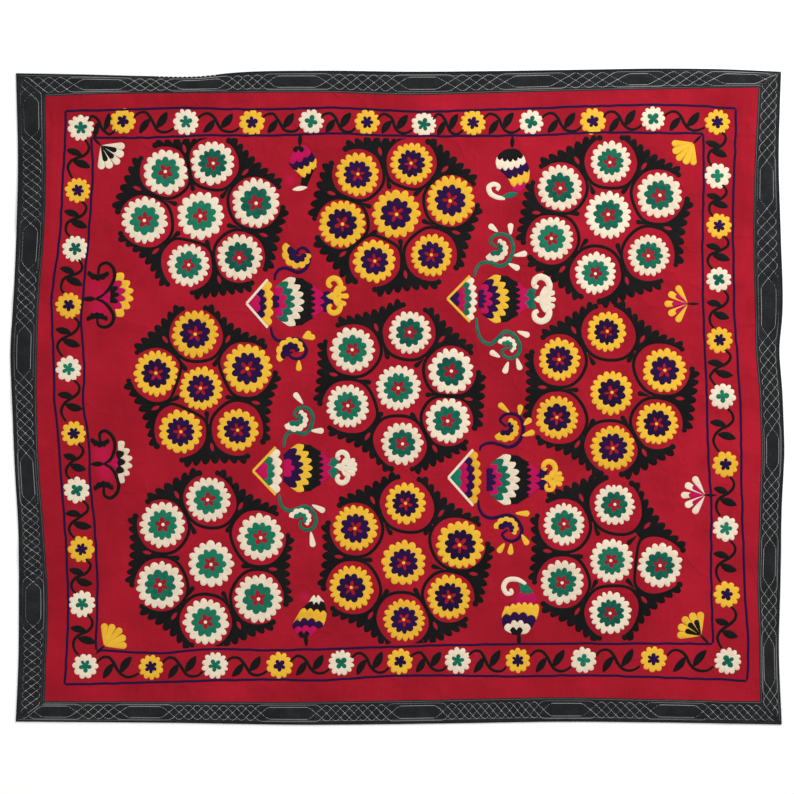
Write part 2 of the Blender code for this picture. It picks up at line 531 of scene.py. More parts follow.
def band_top(side):
    """The height of a band's upper face, as a function of places on it."""
    def top(places):
        along, out = places.T if side in LEVEL_SIDES else places.T[::-1]
        seam, outer = edge(side, "seam", along), edge(side, "outer", along)
        shares = np.clip(2 * (out - seam) / (outer - seam) - 1, -1, 1)
        half_width = abs(outer - seam) / 2
        turned = np.clip((1 - abs(shares)) * half_width / TURNED_EDGE, 0, 1)
        height = puff(side, along, shares, half_width) - EDGE_DROP * (1 - turned) ** 2
        return cloth_height(places) + BAND_THICKNESS + height
    return top


def black_cotton():
    """Plain black cotton, greyer where its edges are worn, with lint and fine creases."""
    finish = Finish("black_cotton", 0.8, sheen=0.02)
    worn = finish.node("ShaderNodeAttribute", {"attribute_name": "worn"}, output="Fac")
    mottle = finish.noise(finish.places(), 22.0, detail=5.0)
    slub = finish.noise(finish.places((160.0, 160.0, 1.0)), 1.0, detail=3.0)
    lint = finish.between(finish.noise(finish.places(), 420.0), 0.70, 0.78)
    shade = finish.between(mottle * 0.7 + slub * 0.5, 0.45, 0.85) * 0.55 + worn * 0.4
    color = finish.blend(BLACK_COTTON, FADED_BLACK_COTTON, shade + lint * 0.8)
    folds = finish.noise(finish.places(), 16.0, detail=3.0)
    creases = (1 - abs(folds * 2 - 1)) ** 10
    height = creases * (0.7 * MM) + woven(finish, 0.8 * MM, 0.05 * MM)
    return finish.show(color, height)


BLACK_COTTON_FINISH = black_cotton()


def band_cloth(side):
    """One band, from its seam with the ground to the braid, on the folds below it."""
    inner, outer = (np.linalg.norm(side_points(side, name, 1.0) - side_points(side, name, 0.0))
                    for name in ("seam", "outer"))
    columns = round(outer / BAND_CELL)
    bm, u, v = unit_grid(columns, BAND_ROWS)
    inset = np.clip(2 * u - 1, -1, 1)
    inset = np.where(abs(inset) == 1, inset, 0) * SEAM_GAP
    seam, rim = side_points(side, "seam", u), side_points(side, "outer", u)
    away = rim - seam
    width = np.linalg.norm(away, axis=1)
    share = (SEAM_GAP + (width - BRAID_WIDTH - 2 * SEAM_GAP) * v) / width
    places = seam + away * share[:, None]
    places[:, axis_of(side)] -= inset
    low = cloth_height(places)
    high = band_top(side)(places)
    worn = bm.verts.layers.float.new("worn")
    from_edge = np.minimum(share, 1 - share) * width
    place_points(bm.verts, places, low)
    for vert, value in zip(bm.verts, np.clip(1 - from_edge / WORN_EDGE, 0, 1)):
        vert[worn] = value
    thicken(bm, high - low)
    cloth = finished(f"band_{side}_cloth", bm, BLACK_COTTON_FINISH)
    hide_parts(f"band_{side}")


for side in EDGES:
    band_cloth(side)

# A narrow black braid is sewn round the bands' outer edge. Its plait shows as small bumps,
# and one stretch at the top left is plaited in black and white.
BRAID_HEIGHT = 3.0 * MM
BRAID_STEP = 1.7 * MM
BRAID_BUMP = 0.5 * MM
BRAID_PLAIT = 5.1 * MM
BRAID_ARCH = (0.35, 0.9, 1.0, 0.9, 0.35)
BRAID_BLACK = (0.014, 0.014, 0.016, 1.0)
BRAID_PALE = (0.62, 0.52, 0.50, 1.0)
TWO_TONED = (-776 * MM, -572 * MM)
TWO_TONED_PITCH = 14.7 * MM


def braid_finish():
    """Black plaited cotton, with a two-toned stretch along the top."""
    finish = Finish("braid_cotton", 0.75, sheen=0.03)
    where = finish.node("ShaderNodeSeparateXYZ", sockets={0: finish.places()})
    start, stop = TWO_TONED
    stretch = finish.between(where, start, start + 4 * MM)
    stretch = stretch * finish.between(where, stop, stop - 4 * MM)
    stretch = stretch * finish.between(where.other("Y"), 0.9, 0.95)
    dash = finish.between((where * (2 * np.pi / TWO_TONED_PITCH)).sine(), 0.15, 0.35)
    fibre = finish.noise(finish.places(), 600.0, detail=3.0)
    color = finish.blend(BRAID_BLACK, BRAID_PALE, stretch * dash * (0.5 + fibre))
    return finish.show(color, fibre * (0.5 * MM))


BRAID_FINISH = braid_finish()


def braid_cord(side):
    """One side's braid: an arched ribbon with a bump for each turn of the plait."""
    length = np.linalg.norm(side_points(side, "outer", 1.0) - side_points(side, "outer", 0.0))
    columns = round(length / BRAID_STEP)
    cells = len(BRAID_ARCH) - 1
    bm, u, v = unit_grid(columns, cells)
    seam, rim = side_points(side, "seam", u), side_points(side, "outer", u)
    outwards = (rim - seam) / np.linalg.norm(rim - seam, axis=1)[:, None]
    places = rim - outwards * (BRAID_WIDTH * (1 - v))[:, None]
    inset = np.where(u == 0, 1, 0) - np.where(u == 1, 1, 0)
    places[:, axis_of(side)] += inset * SEAM_GAP
    low = cloth_height(places)
    arch = np.array(BRAID_ARCH)[np.rint(v * cells).astype(int)]
    slant = (u * length + (v - 0.5) * BRAID_WIDTH * 0.7) / BRAID_PLAIT
    plait = abs(np.sin(slant * np.pi)) ** 0.6
    high = low + (BRAID_HEIGHT + BRAID_BUMP * (plait - 0.7)) * arch
    place_points(bm.verts, places, low)
    thicken(bm, high - low)
    cord = finished(f"braid_{side}_cord", bm, BRAID_FINISH)
    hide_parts(f"braid_{side}")


for side in EDGES:
    braid_cord(side)

# The bands' quilting: pale machine thread in the lattices and greyer thread along both edges.
# It lies in the grooves that it draws in the cloth.
ROLL = 1.6 * MM
MOST_ROLL = 0.3
FULL_WIDTH = 2.5 * MM
WELD = 0.002 * MM

# How high each layer of stitching stands over the cloth at its edges and at its top.
STITCH_LAYERS = ((-0.35 * MM, 0.9 * MM), (0.72 * MM, 1.25 * MM), (1.1 * MM, 1.6 * MM))

# Across a patch of stitching: a share of its width, how many rolled edges more, and how
# much of its full height it has there.
FILLED = ((0, 0, 0.0), (0, 1, 0.8), (0.35, 0, 1.0), (0.65, 0, 1.0), (1, -1, 0.8), (1, 0, 0.0))
WIDE = (
    (0, 0, 0.0), (0, 1, 0.8), (0.2, 0, 1.0), (0.4, 0, 1.0), (0.6, 0, 1.0), (0.8, 0, 1.0),
    (1, -1, 0.8), (1, 0, 0.0),
)
LINE = ((0, 0, 0.0), (0, 1, 1.0), (1, -1, 1.0), (1, 0, 0.0))
DOMED = ((0, 0, 1.0), (0.5, 0, 1.0), (1, -1, 0.8), (1, 0, 0.0))
THREAD = ((0, 0, 0.0), (0.5, 0, 1.0), (1, 0, 0.0))

# Each thread's colour where it is lightest and where it is darkest; the darker one also serves as
# painted shade in the grooves between stitches.
THREADS = {
    "pale_machine": ((0.52, 0.52, 0.51, 1.0), (0.36, 0.36, 0.36, 1.0)),
    "grey_machine": ((0.20, 0.20, 0.20, 1.0), (0.13, 0.13, 0.13, 1.0)),
    "cream": ((0.76, 0.66, 0.51, 1.0), (0.60, 0.47, 0.33, 1.0)),
    "yellow": ((0.76, 0.45, 0.035, 1.0), (0.62, 0.31, 0.015, 1.0)),
    "green": ((0.008, 0.17, 0.095, 1.0), (0.0, 0.060, 0.045, 1.0)),
    "purple": ((0.018, 0.002, 0.050, 1.0), (0.008, 0.002, 0.020, 1.0)),
    "navy": ((0.022, 0.003, 0.060, 1.0), (0.010, 0.003, 0.026, 1.0)),
    "magenta": ((0.47, 0.002, 0.085, 1.0), (0.36, 0.002, 0.055, 1.0)),
    "black": ((0.006, 0.006, 0.006, 1.0), (0.003, 0.003, 0.003, 1.0)),
    "red": ((0.36, 0.0085, 0.022, 1.0), (0.28, 0.006, 0.016, 1.0)),
}
CHAIN_ROW = 2.4 * MM
CHAIN_LINK = 4.2 * MM
CHAIN_RELIEF = 0.35 * MM


def thread_finish(name):
    """Rows of chain stitch that follow the patch, in one thread's colours, with painted shade in
    the grooves between stitches and rows.
    """
    light, dark = THREADS[name]
    finish = Finish(f"{name}_thread", 0.62, sheen=0.02)
    lay = finish.node("ShaderNodeUVMap", {"uv_map": "stitches"})
    lay = finish.node("ShaderNodeSeparateXYZ", sockets={0: lay})
    row = lay.other("Y") / CHAIN_ROW
    within = abs(row.part() - 0.5)
    link = (lay / CHAIN_LINK + row.whole() * 0.37 + within * 0.9).part()
    hump = (1 - (within * 2) ** 3) * (1 - (abs(link - 0.5) * 2) ** 4 * 0.6)
    tone = finish.node("ShaderNodeAttribute", {"attribute_name": "tone"}, output="Fac")
    patchy = finish.noise(finish.places(), 55.0, detail=3.0)
    fibre = finish.noise(finish.places(), 500.0)
    # The hump term is painted shade: it darkens the colour in the grooves between rows and links
    # and lightens each stitch's top.
    shade = finish.between(tone + (patchy - 0.5) * 0.9 + (fibre - 0.5) * 0.5 + hump * 0.3, 0.0, 1.2)
    return finish.show(finish.blend(dark, light, shade), hump * CHAIN_RELIEF)


THREAD_FINISHES = {name: thread_finish(name) for name in THREADS}


def lengths(line):
    """How far along a line each of its points lies."""
    steps = np.linalg.norm(np.diff(line, axis=0), axis=1)
    return np.concatenate([[0.0], np.cumsum(steps)])


class Needlework:
    """One piece of stitching: patches between two edges each, sewn down as one mesh."""

    def __init__(self, name, surface):
        self.name = name
        self.surface = surface
        self.bm = bmesh.new()
        self.points, self.lays, self.tones, self.faces = [], [], [], []
        self.threads = []

    def patch(self, first, last, thread, section=FILLED, layer=0, tone=0.6, closed=False):
        """Fills between two edges, given as as many points each, from end to end."""
        run, reach = np.diff(first, axis=0), (last - first)[:-1]
        if np.sum(run[:, 0] * reach[:, 1] - run[:, 1] * reach[:, 0]) < 0:
            first, last = first[::-1], last[::-1]
        reach = last - first
        width = np.linalg.norm(reach, axis=1)
        share, rolls, height = (np.array(column)[:, None] for column in zip(*section))
        shares = share + rolls * np.minimum(ROLL / width, MOST_ROLL)
        height = height * np.minimum(1.0, width / FULL_WIDTH)
        if not closed:
            height[:, (0, -1)] = 0.0
        places = (first + shares[..., None] * reach).reshape(-1, 2)
        edge_height, top_height = STITCH_LAYERS[layer]
        lift = edge_height + (top_height - edge_height) * height.ravel()
        along = lengths((first + last) / 2) + np.zeros_like(shares)
        bmesh.ops.create_grid(
            self.bm, x_segments=len(first) - 1, y_segments=len(section) - 1, size=1.0
        )
        self.points.append(np.column_stack([places, self.surface(places) + lift]))
        self.lays.append(np.column_stack([along.ravel(), (shares * width).ravel()]))
        self.tones.append(np.full(len(places), tone))
        if thread not in self.threads:
            self.threads.append(thread)
        count = (len(first) - 1) * (len(section) - 1)
        self.faces.append(np.full(count, self.threads.index(thread)))

    def sew(self):
        """Makes the piece's mesh and fixes it to the panel."""
        mesh = bpy.data.meshes.new(self.name)
        self.bm.to_mesh(mesh)
        self.bm.free()
        mesh.vertices.foreach_set("co", np.concatenate(self.points).ravel())
        corners = np.empty(len(mesh.loops), int)
        mesh.loops.foreach_get("vertex_index", corners)
        lay = mesh.uv_layers.new(name="stitches")
        lay.data.foreach_set("uv", np.concatenate(self.lays)[corners].ravel())
        tone = mesh.attributes.new("tone", "FLOAT", "POINT")
        tone.data.foreach_set("value", np.concatenate(self.tones))
        mesh.polygons.foreach_set("material_index", np.concatenate(self.faces))
        bm = bmesh.new()
        bm.from_mesh(mesh)
        bmesh.ops.remove_doubles(bm, verts=bm.verts, dist=WELD)
        bm.to_mesh(mesh)
        bm.free()
        mesh.shade_smooth()
        for thread in self.threads:
            mesh.materials.append(THREAD_FINISHES[thread].material)
        piece = linked(self.name, mesh)
        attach(piece, "root")


def beside(line, offset):
    """A line's points moved to its left by an offset, or by one for each point."""
    run = np.gradient(line, axis=0)
    run /= np.linalg.norm(run, axis=1)[:, None]
    left = np.stack([-run[:, 1], run[:, 0]], axis=1)
    return line + left * np.broadcast_to(offset, len(line))[:, None]


def stitch_line(work, line, width, thread, section=LINE, **facts):
    """A line of stitching of an even width, or with a width for each point."""
    half = np.broadcast_to(width, len(line)) / 2
    work.patch(beside(line, half), beside(line, -half), thread, section, **facts)


QUILTING_WIDTH = 1.15 * MM
EDGE_SEAM_WIDTH = 1.0 * MM
QUILTING_STEP = 5.0 * MM
THREAD_LIFT = 0.25 * MM


def quilting(side):
    """All the machine stitching on one band."""
    surface = band_top(side)
    work = Needlework(f"quilting_{side}", lambda places: surface(places) + THREAD_LIFT)
    first, last = (ends[k] for ends, k in zip(mitre(side, np.array([1.0, 1.0])), (0, 1)))
    steps = np.arange(first, last, QUILTING_STEP)
    for places, shares in QUILTING[side]:
        along = np.unique(np.concatenate([steps, places]))
        across = rounded(along, places, shares)
        start, stop = mitre(side, across)
        kept = (along > start) & (along < stop)
        line = on_band(side, along[kept], across[kept])
        stitch_line(work, line, QUILTING_WIDTH, "pale_machine", THREAD)
    for column, sign in (("outer", 1), ("seam", -1)):
        for away in EDGE_SEAMS[column]:
            width = abs(edge(side, "outer", steps) - edge(side, "seam", steps))
            across = sign * (1 - 2 * away * MM / width)
            start, stop = mitre(side, across)
            kept = (steps > start) & (steps < stop)
            line = on_band(side, steps[kept], across[kept])
            stitch_line(work, line, EDGE_SEAM_WIDTH, "grey_machine", THREAD)
    work.sew()


for side in EDGES:
    quilting(side)

# Two lines of navy chain stitch run round the ground and hold the flower border between
# them. They wander as the cloth does, because they were drawn on it by hand.
NAVY_WIDTH = 8.8 * MM
NAVY_STEP = 6.0 * MM
NAVY_WANDER = {"aside": 1.3 * MM, "step": 26 * MM}
OUTER_LINE = {
    "top": (
        (-1062, 914), (-887, 918), (-721, 923), (-423, 919), (-193, 924), (-55, 917), (85, 911),
        (223, 916), (425, 922), (585, 928), (748, 932), (908, 933), (1084, 922),
    ),
    "bottom": (
        (-1063, -921), (-830, -915), (-407, -905), (-251, -907), (2, -893), (425, -894),
        (613, -891), (805, -897), (1119, -907),
    ),
    "left": (
        (-921, -1063), (-676, -1053), (-548, -1056), (-423, -1063), (-263, -1076), (-139, -1084),
        (-27, -1095), (140, -1100), (303, -1105), (361, -1100), (453, -1086), (527, -1078),
        (719, -1068), (802, -1062), (914, -1061),
    ),
    "right": (
        (-907, 1119), (-801, 1121), (-612, 1111), (-423, 1105), (-267, 1101), (-68, 1098),
        (92, 1090), (255, 1079), (469, 1074), (645, 1074), (754, 1079), (922, 1084),
    ),
}
INNER_LINE = {
    "top": (
        (-979, 829), (-830, 828), (-609, 836), (-407, 836), (-219, 842), (2, 835), (223, 834),
        (425, 836), (639, 845), (980, 842),
    ),
    "bottom": (
        (-964, -811), (-766, -820), (-577, -807), (-423, -811), (-187, -806), (98, -796),
        (425, -791), (677, -790), (1010, -790),
    ),
    "left": (
        (-811, -964), (-548, -960), (-423, -968), (-263, -983), (-139, -988), (-27, -1004),
        (85, -1001), (249, -1011), (332, -1004), (453, -993), (636, -979), (748, -974),
        (829, -979),
    ),
    "right": (
        (-790, 1010), (-548, 1004), (-359, 1004), (-139, 993), (37, 988), (255, 980), (453, 976),
        (700, 980), (842, 980),
    ),
}


def ground_top(places):
    """The height of the red ground's upper face at places on it."""
    return cloth_height(places) + GROUND_THICKNESS


def navy_lines():
    """Both lines round the ground, a little unsteady between their places."""
    work = Needlework("navy_lines", ground_top)
    dice = np.random.default_rng(3)
    for rows_of in (OUTER_LINE, INNER_LINE):
        for side, rows in rows_of.items():
            places, values = (np.array(column) * MM for column in zip(*rows))
            along = np.linspace(places[0], places[-1], round(np.ptp(places) / NAVY_STEP))
            turns = np.arange(along[0], along[-1], NAVY_WANDER["step"])
            wander = dice.uniform(-1, 1, len(turns)) * NAVY_WANDER["aside"]
            out = through(places, values, along) + np.interp(along, turns, wander)
            stitch_line(work, laid_out(side, along, out), NAVY_WIDTH, "navy", tone=0.1)
    work.sew()


navy_lines()

# Nine medallions fill the field. Each is a ring of rosettes round a middle one, every rosette
# in a red cell outlined in black, with black scalloped wings, buds and red eyes between them.
CELL_RADIUS = 81 * MM
CELL_LINE = 11.5 * MM
CELL_GAP = 11 * MM
MIDDLE_GAP = 3 * MM
WING_START = np.radians(4)
WING_RADIUS = 98 * MM
WING_SAG = {"most": 20 * MM, "share": 0.6}
WING_MARGIN = 22 * MM
LINE_MARGIN = 8 * MM
LOBE_LENGTH = 28 * MM
LOBE_DEPTH = 18 * MM
LOBE_LEAN = 6 * MM
LOBE_POINTS = 8
KNOB_RADIUS = 9.5 * MM
CLOSE_CELLS = 170 * MM
CELL_STRETCH = {"most": 100 * MM, "spread": 0.75}
CELL_SQUARENESS = 14
CELL_OVERLAP = 0.15
CROWDING = 0.7
ARC_POINTS = 40
EYE = {"length": 30 * MM, "width": 12.5 * MM, "near": 44 * MM, "far": 62 * MM}
BUD = {"length": 43 * MM, "near": 44 * MM, "far": 77 * MM, "width": 17.5 * MM}
DISC_POINTS = 20
DISC_HOLE = 0.2 * MM

# Each rosette's middle and how far its outer ring reaches; the first of a row is the middle
# rosette.
MEDALLIONS = {
    "top_left": ("white", (
        (-629, 579, 76), (-742, 719, 73), (-591, 747, 71), (-453, 620, 78), (-808, 565, 74),
        (-505, 446, 74), (-669, 421, 68),
    )),
    "top_middle": ("yellow", (
        (-4, 585, 78), (-127, 711, 70), (45, 746, 68), (170, 628, 78), (-177, 553, 76),
        (-73, 434, 69), (109, 452, 68),
    )),
    "top_right": ("white", (
        (675, 581, 75), (682, 751, 66), (520, 668, 73), (838, 644, 74), (493, 505, 70),
        (805, 452, 67), (634, 395, 67),
    )),
    "middle_left": ("yellow", (
        (-628, 26, 70), (-647, 201, 75), (-772, 74, 72), (-479, 90, 79), (-694, -112, 70),
        (-511, -107, 68),
    )),
    "middle": ("white", (
        (3, 28, 73), (40, 205, 69), (-143, 150, 72), (171, 81, 73), (-159, -30, 70),
        (161, -77, 73), (15, -150, 68),
    )),
    "middle_right": ("yellow", (
        (685, 12, 70), (670, 208, 64), (518, 119, 68), (854, 84, 71), (511, -67, 69),
        (831, -86, 68), (689, -164, 72),
    )),
    "bottom_left": ("white", (
        (-596, -535, 74), (-605, -329, 72), (-751, -410, 74), (-438, -450, 75), (-759, -603, 77),
        (-445, -646, 77), (-612, -720, 74),
    )),
    "bottom_middle": ("yellow", (
        (20, -532, 72), (26, -342, 66), (-134, -421, 73), (201, -474, 77), (-147, -612, 71),
        (165, -641, 71), (22, -714, 67),
    )),
    "bottom_right": ("white", (
        (684, -524, 70), (695, -346, 66), (533, -408, 67), (840, -540, 72), (527, -594, 71),
        (682, -692, 68),
    )),
}
ROSETTE_KINDS = {
    "white": {"ring": "cream", "core": "green", "petals": 1.0, "notch": 0.13},
    "yellow": {"ring": "yellow", "core": "purple", "petals": 1.5, "notch": 0.10},
}
RING_LOBES = (16, 20)
CORE_LOBES = (10, 13)
RING_VALLEY = 0.83
RING_HOLE = 0.78
CORE_REACH = 0.67
CORE_VALLEY = 0.73
PETAL_REACH = 0.34
DOT_REACH = 0.072
ROSETTE_TALLNESS = 1.02
LOBE_ROUNDNESS = 0.75
SMOOTH_STEP = 3.0 * MM


def heading(angles):
    """Unit steps towards angles."""
    return np.stack([np.cos(angles), np.sin(angles)], axis=-1)


def angle_of(step):
    """The direction of a step, in radians."""
    return np.arctan2(step[1], step[0])


class Scallops:
    """A closed edge of rounded lobes round a middle, none quite like the next."""

    def __init__(self, lobes, valley, tip, dice, roundness=LOBE_ROUNDNESS):
        self.starts = np.arange(lobes) + dice.uniform(-0.14, 0.14, lobes) + dice.uniform(0, 1)
        self.tips = tip * dice.uniform(0.965, 1.035, lobes)
        self.lobes, self.valley, self.roundness = lobes, valley, roundness

    def angles(self, points):
        """The angles at which each lobe starts, and points between them."""
        steps = np.linspace(0, 1, points, endpoint=False)
        ends = np.append(self.starts[1:], self.starts[0] + self.lobes)
        places = self.starts[:, None] + (ends - self.starts)[:, None] * steps
        return (places.ravel() / self.lobes * 2 * np.pi) % (2 * np.pi)

    def reach(self, angles):
        """How far out the edge lies at each angle."""
        starts = np.append(self.starts, self.starts[0] + self.lobes)
        places = (angles / (2 * np.pi) * self.lobes - starts[0]) % self.lobes + starts[0]
        lobe = np.clip(np.searchsorted(starts, places, "right") - 1, 0, self.lobes - 1)
        share = (places - starts[lobe]) / (starts[lobe + 1] - starts[lobe])
        bulge = np.sin(np.clip(share, 0, 1) * np.pi) ** self.roundness
        return self.valley + (self.tips[lobe] - self.valley) * bulge


def ring(work, middle, inner, outer, thread, points=6, tall=1.0, **facts):
    """A ring of stitching between two edges, each a size or Scallops."""
    scalloped = [rim for rim in (inner, outer) if isinstance(rim, Scallops)]
    if scalloped:
        angles = np.unique(np.concatenate([rim.angles(points) for rim in scalloped]))
    else:
        angles = np.linspace(0, 2 * np.pi, DISC_POINTS, endpoint=False)
    edges = []
    for rim in (inner, outer):
        reach = rim.reach(angles) if isinstance(rim, Scallops) else np.full(len(angles), rim)
        places = middle + heading(angles) * reach[:, None] * (1.0, tall)
        edges.append(np.vstack([places, places[:1]]))
    work.patch(*edges, thread, closed=True, **facts)


def disc(work, middle, radius, thread, **facts):
    """A small round heap of stitches."""
    ring(work, middle, DISC_HOLE, radius, thread, section=DOMED, **facts)


def rosette(work, middle, reach, kind, dice):
    """One rosette: a scalloped ring, a darker core, the red flower left in it and a dot."""
    form = ROSETTE_KINDS[kind]
    lobes = dice.integers(*RING_LOBES)
    core_lobes = dice.integers(*CORE_LOBES)
    outer = Scallops(lobes, reach * RING_VALLEY, reach, dice)
    tip = reach * CORE_REACH
    core = Scallops(core_lobes, tip * CORE_VALLEY, tip, dice)
    petals = Scallops(5, reach * form["notch"], reach * PETAL_REACH, dice, form["petals"])
    ring(work, middle, tip * RING_HOLE, outer, form["ring"], tall=ROSETTE_TALLNESS,
         tone=dice.uniform(0.45, 0.75))
    ring(work, middle, petals, core, form["core"], layer=1, tone=dice.uniform(0.1, 0.9))
    disc(work, middle + dice.uniform(-2, 2, 2) * MM, reach * DOT_REACH, form["ring"], layer=1,
         tone=0.9)


def cell_reach(middle, angles, others, inmost):
    """How far a red cell reaches: a circle that meets the cells to either side of it.

    It is flattened where the next one or the middle rosette presses on it, and drawn out
    where the next one is far.
    """
    power = CELL_SQUARENESS
    round_reach = np.full(len(angles), CELL_RADIUS)
    pressing = []
    for other in others:
        away = other - middle
        limit = np.linalg.norm(away) / 2 - CELL_GAP / 2
        pressing.append((away, limit))
        drawn_out = max(0.0, min(limit, CELL_STRETCH["most"]) - CELL_RADIUS)
        aside = (angles - angle_of(away) + np.pi) % (2 * np.pi) - np.pi
        round_reach += drawn_out * np.exp(-(aside / CELL_STRETCH["spread"]) ** 2)
    inwards = inmost["middle"] - middle
    limit = np.linalg.norm(inwards) - inmost["reach"] - CELL_LINE - MIDDLE_GAP
    pressing.append((inwards, limit))
    flat = np.zeros(len(angles))
    for away, limit in pressing:
        facing = np.cos(angles - angle_of(away))
        flat += np.where(facing > 0, (limit / np.maximum(facing, 0.05)) ** -power, 0.0)
    return (round_reach ** -power + flat) ** (-1 / power)


def inside_line(places, margin):
    """Places held back from the inner navy line."""
    limits = {}
    for side, rows in INNER_LINE.items():
        where, line = zip(*rows)
        at = places[:, axis_of(side)] / MM
        limits[side] = through(where, line, at) * MM
    x = np.clip(places[:, 0], limits["left"] + margin, limits["right"] - margin)
    y = np.clip(places[:, 1], limits["bottom"] + margin, limits["top"] - margin)
    return np.stack([x, y], axis=-1)


def outside_cell(places, middle):
    """Places pushed out to a cell's outline where they would lie in it."""
    away = places - middle
    reach = np.linalg.norm(away, axis=1)[:, None]
    return middle + away * np.maximum(1, (CELL_RADIUS + CELL_LINE / 2) / reach)


def between_angles(first, last):
    """Angles from one to another, the counterclockwise way round."""
    return first + (last - first) % (2 * np.pi) * np.linspace(0, 1, ARC_POINTS)


def lobed(line, lobes, depth, lean=0.0, roundness=LOBE_ROUNDNESS):
    """A line with rounded lobes on its right, which lean towards its ends."""
    share = np.linspace(0, 1, len(line))
    bulge = abs(np.sin(share * lobes * np.pi)) ** roundness
    run = line[-1] - line[0]
    run /= np.linalg.norm(run)
    leaning = (bulge * lean * np.clip((share - 0.5) * 4, -1, 1))[:, None] * run
    return beside(line, -depth * bulge) + leaning


def smooth(points, step=SMOOTH_STEP):
    """A smooth line through given points."""
    points = np.asarray(points, float)
    along = lengths(points)
    at = np.linspace(0, along[-1], max(6, round(along[-1] / step)) + 1)
    return np.stack([through(along, points[:, k], at) for k in (0, 1)], axis=-1)


def leaf(work, tail, tip, width, thread, bend=0.0, section=FILLED, **facts):
    """A pointed oval leaf, bent to its left by a share of its length."""
    run = tip - tail
    left = np.array([-run[1], run[0]])
    line = smooth([tail, tail + run / 2 + left * bend, tip])
    share = np.linspace(0, 1, len(line))
    profile = np.maximum(np.sin(share * np.pi) ** 0.7 * width, 0.8 * MM)
    stitch_line(work, line, profile, thread, section, **facts)


def teardrop(work, start, end, width, thread, taper=0.8, section=FILLED, **facts):
    """A drop with a pointed start and a round end."""
    share = (1 - np.cos(np.linspace(0, np.pi, 17))) / 2
    line = start + (end - start) * share[:, None]
    round_part = min(0.5, width / 2 / np.linalg.norm(end - start))
    beyond = np.clip((share - 1 + round_part) / round_part, 0, 1)
    profile = np.minimum((share / (1 - round_part)) ** taper, np.sqrt(1 - beyond ** 2))
    profile = np.maximum(profile * width, 0.3 * MM)
    stitch_line(work, line, profile, thread, section, **facts)


def wing(work, cells, inmost, dice):
    """The black scalloped wing between two neighbouring cells, with its knobs and eye."""
    (first, second), outwards = cells, cells[0]["outwards"]
    paths, corners = [], []
    for cell, other, sign in ((first, second, -1), (second, first, 1)):
        end = outwards + sign * (WING_START + dice.uniform(-2, 4) * np.pi / 180)
        facing = angle_of(other["middle"] - cell["middle"])
        span = (end, facing) if sign < 0 else (facing, end)
        angles = between_angles(*span)
        paths.append(cell["middle"] + heading(angles) * cell["reach"](angles)[:, None])
        reach = WING_RADIUS * dice.uniform(0.96, 1.04)
        corners.append(cell["middle"] + heading(np.array(end)) * reach)
        knob = cell["middle"] + heading(end + sign * 0.05) * (reach + CELL_RADIUS) / 2
        moved = inside_line(knob[None], LINE_MARGIN + KNOB_RADIUS)[0] - knob
        if np.linalg.norm(moved) < KNOB_RADIUS:
            disc(work, knob + moved, KNOB_RADIUS * dice.uniform(0.9, 1.15), "black")
    length = np.linalg.norm(corners[1] - corners[0])
    lobes = max(5, round(length / LOBE_LENGTH))
    count = lobes * LOBE_POINTS + 1
    share = np.linspace(0, 1, count)[:, None]
    span = second["middle"] - first["middle"]
    apart = np.linalg.norm(span) - CLOSE_CELLS
    step = heading(np.array(outwards))
    sag = np.clip(WING_SAG["share"] * apart, 0, WING_SAG["most"])
    outer = corners[0] + (corners[1] - corners[0]) * share - step * sag * np.sin(share * np.pi)
    outer = inside_line(outer, WING_MARGIN)
    for cell in cells:
        outer = outside_cell(outer, cell["middle"])
    outer = inside_line(lobed(outer, lobes, LOBE_DEPTH, LOBE_LEAN), LINE_MARGIN)
    inner = np.vstack(paths)
    at = share[:, 0] * lengths(inner)[-1]
    inner = np.stack([np.interp(at, lengths(inner), inner[:, k]) for k in (0, 1)], axis=-1)
    work.patch(inner, outer, "black", WIDE, tone=dice.uniform(0.3, 0.8))
    junction = (first["middle"] + second["middle"]) / 2
    out = np.clip(EYE["far"] - CROWDING * apart, EYE["near"], EYE["far"])
    eye = [junction + step * (out + EYE["length"] * share) for share in (-0.5, 0.5)]
    leaf(work, *eye, EYE["width"], "red", layer=1, section=LINE)
    tip = np.clip(BUD["far"] - CROWDING * apart, BUD["near"], BUD["far"])
    room = np.linalg.norm(junction - inmost["middle"]) - inmost["reach"] - MIDDLE_GAP
    tip = min(tip, room)
    lean = heading(outwards + dice.uniform(-0.12, 0.12))
    teardrop(work, junction - step * (tip - BUD["length"]), junction - lean * tip, BUD["width"],
             "black", taper=0.75)


def medallion(name, kind, rows):
    """One medallion: its rosettes, their cells' outlines and the wings."""
    work = Needlework(f"medallion_{name}", ground_top)
    dice = np.random.default_rng(abs(rows[0][0]) + 7)
    middles = [np.array(row[:2]) * MM for row in rows]
    for middle, row in zip(middles, rows):
        rosette(work, middle, row[2] * MM, kind, dice)
    middle, around = middles[0], sorted(middles[1:], key=lambda place: angle_of(place - middles[0]))
    inmost = {"middle": middle, "reach": rows[0][2] * MM}
    cells = []
    for k, place in enumerate(around):
        others = (around[k - 1], around[(k + 1) % len(around)])
        nearest = (around[(k + 1) % len(around)] + place) / 2
        cells.append({
            "middle": place,
            "others": others,
            "outwards": angle_of(nearest - middle),
            "reach": lambda angles, place=place, others=others: cell_reach(
                place, angles, others, inmost),
        })
    for k, cell in enumerate(cells):
        wing(work, (cell, cells[(k + 1) % len(cells)]), inmost, dice)
        back, on = (angle_of(other - cell["middle"]) for other in cell["others"])
        angles = between_angles(on - CELL_OVERLAP, back + CELL_OVERLAP)
        reach = cell["reach"](angles)[:, None]
        inner = cell["middle"] + heading(angles) * reach
        outer = cell["middle"] + heading(angles) * (reach + CELL_LINE)
        work.patch(inner, outer, "black", LINE, tone=0.5)
    work.sew()


for name, (kind, rows) in MEDALLIONS.items():
    medallion(name, kind, rows)

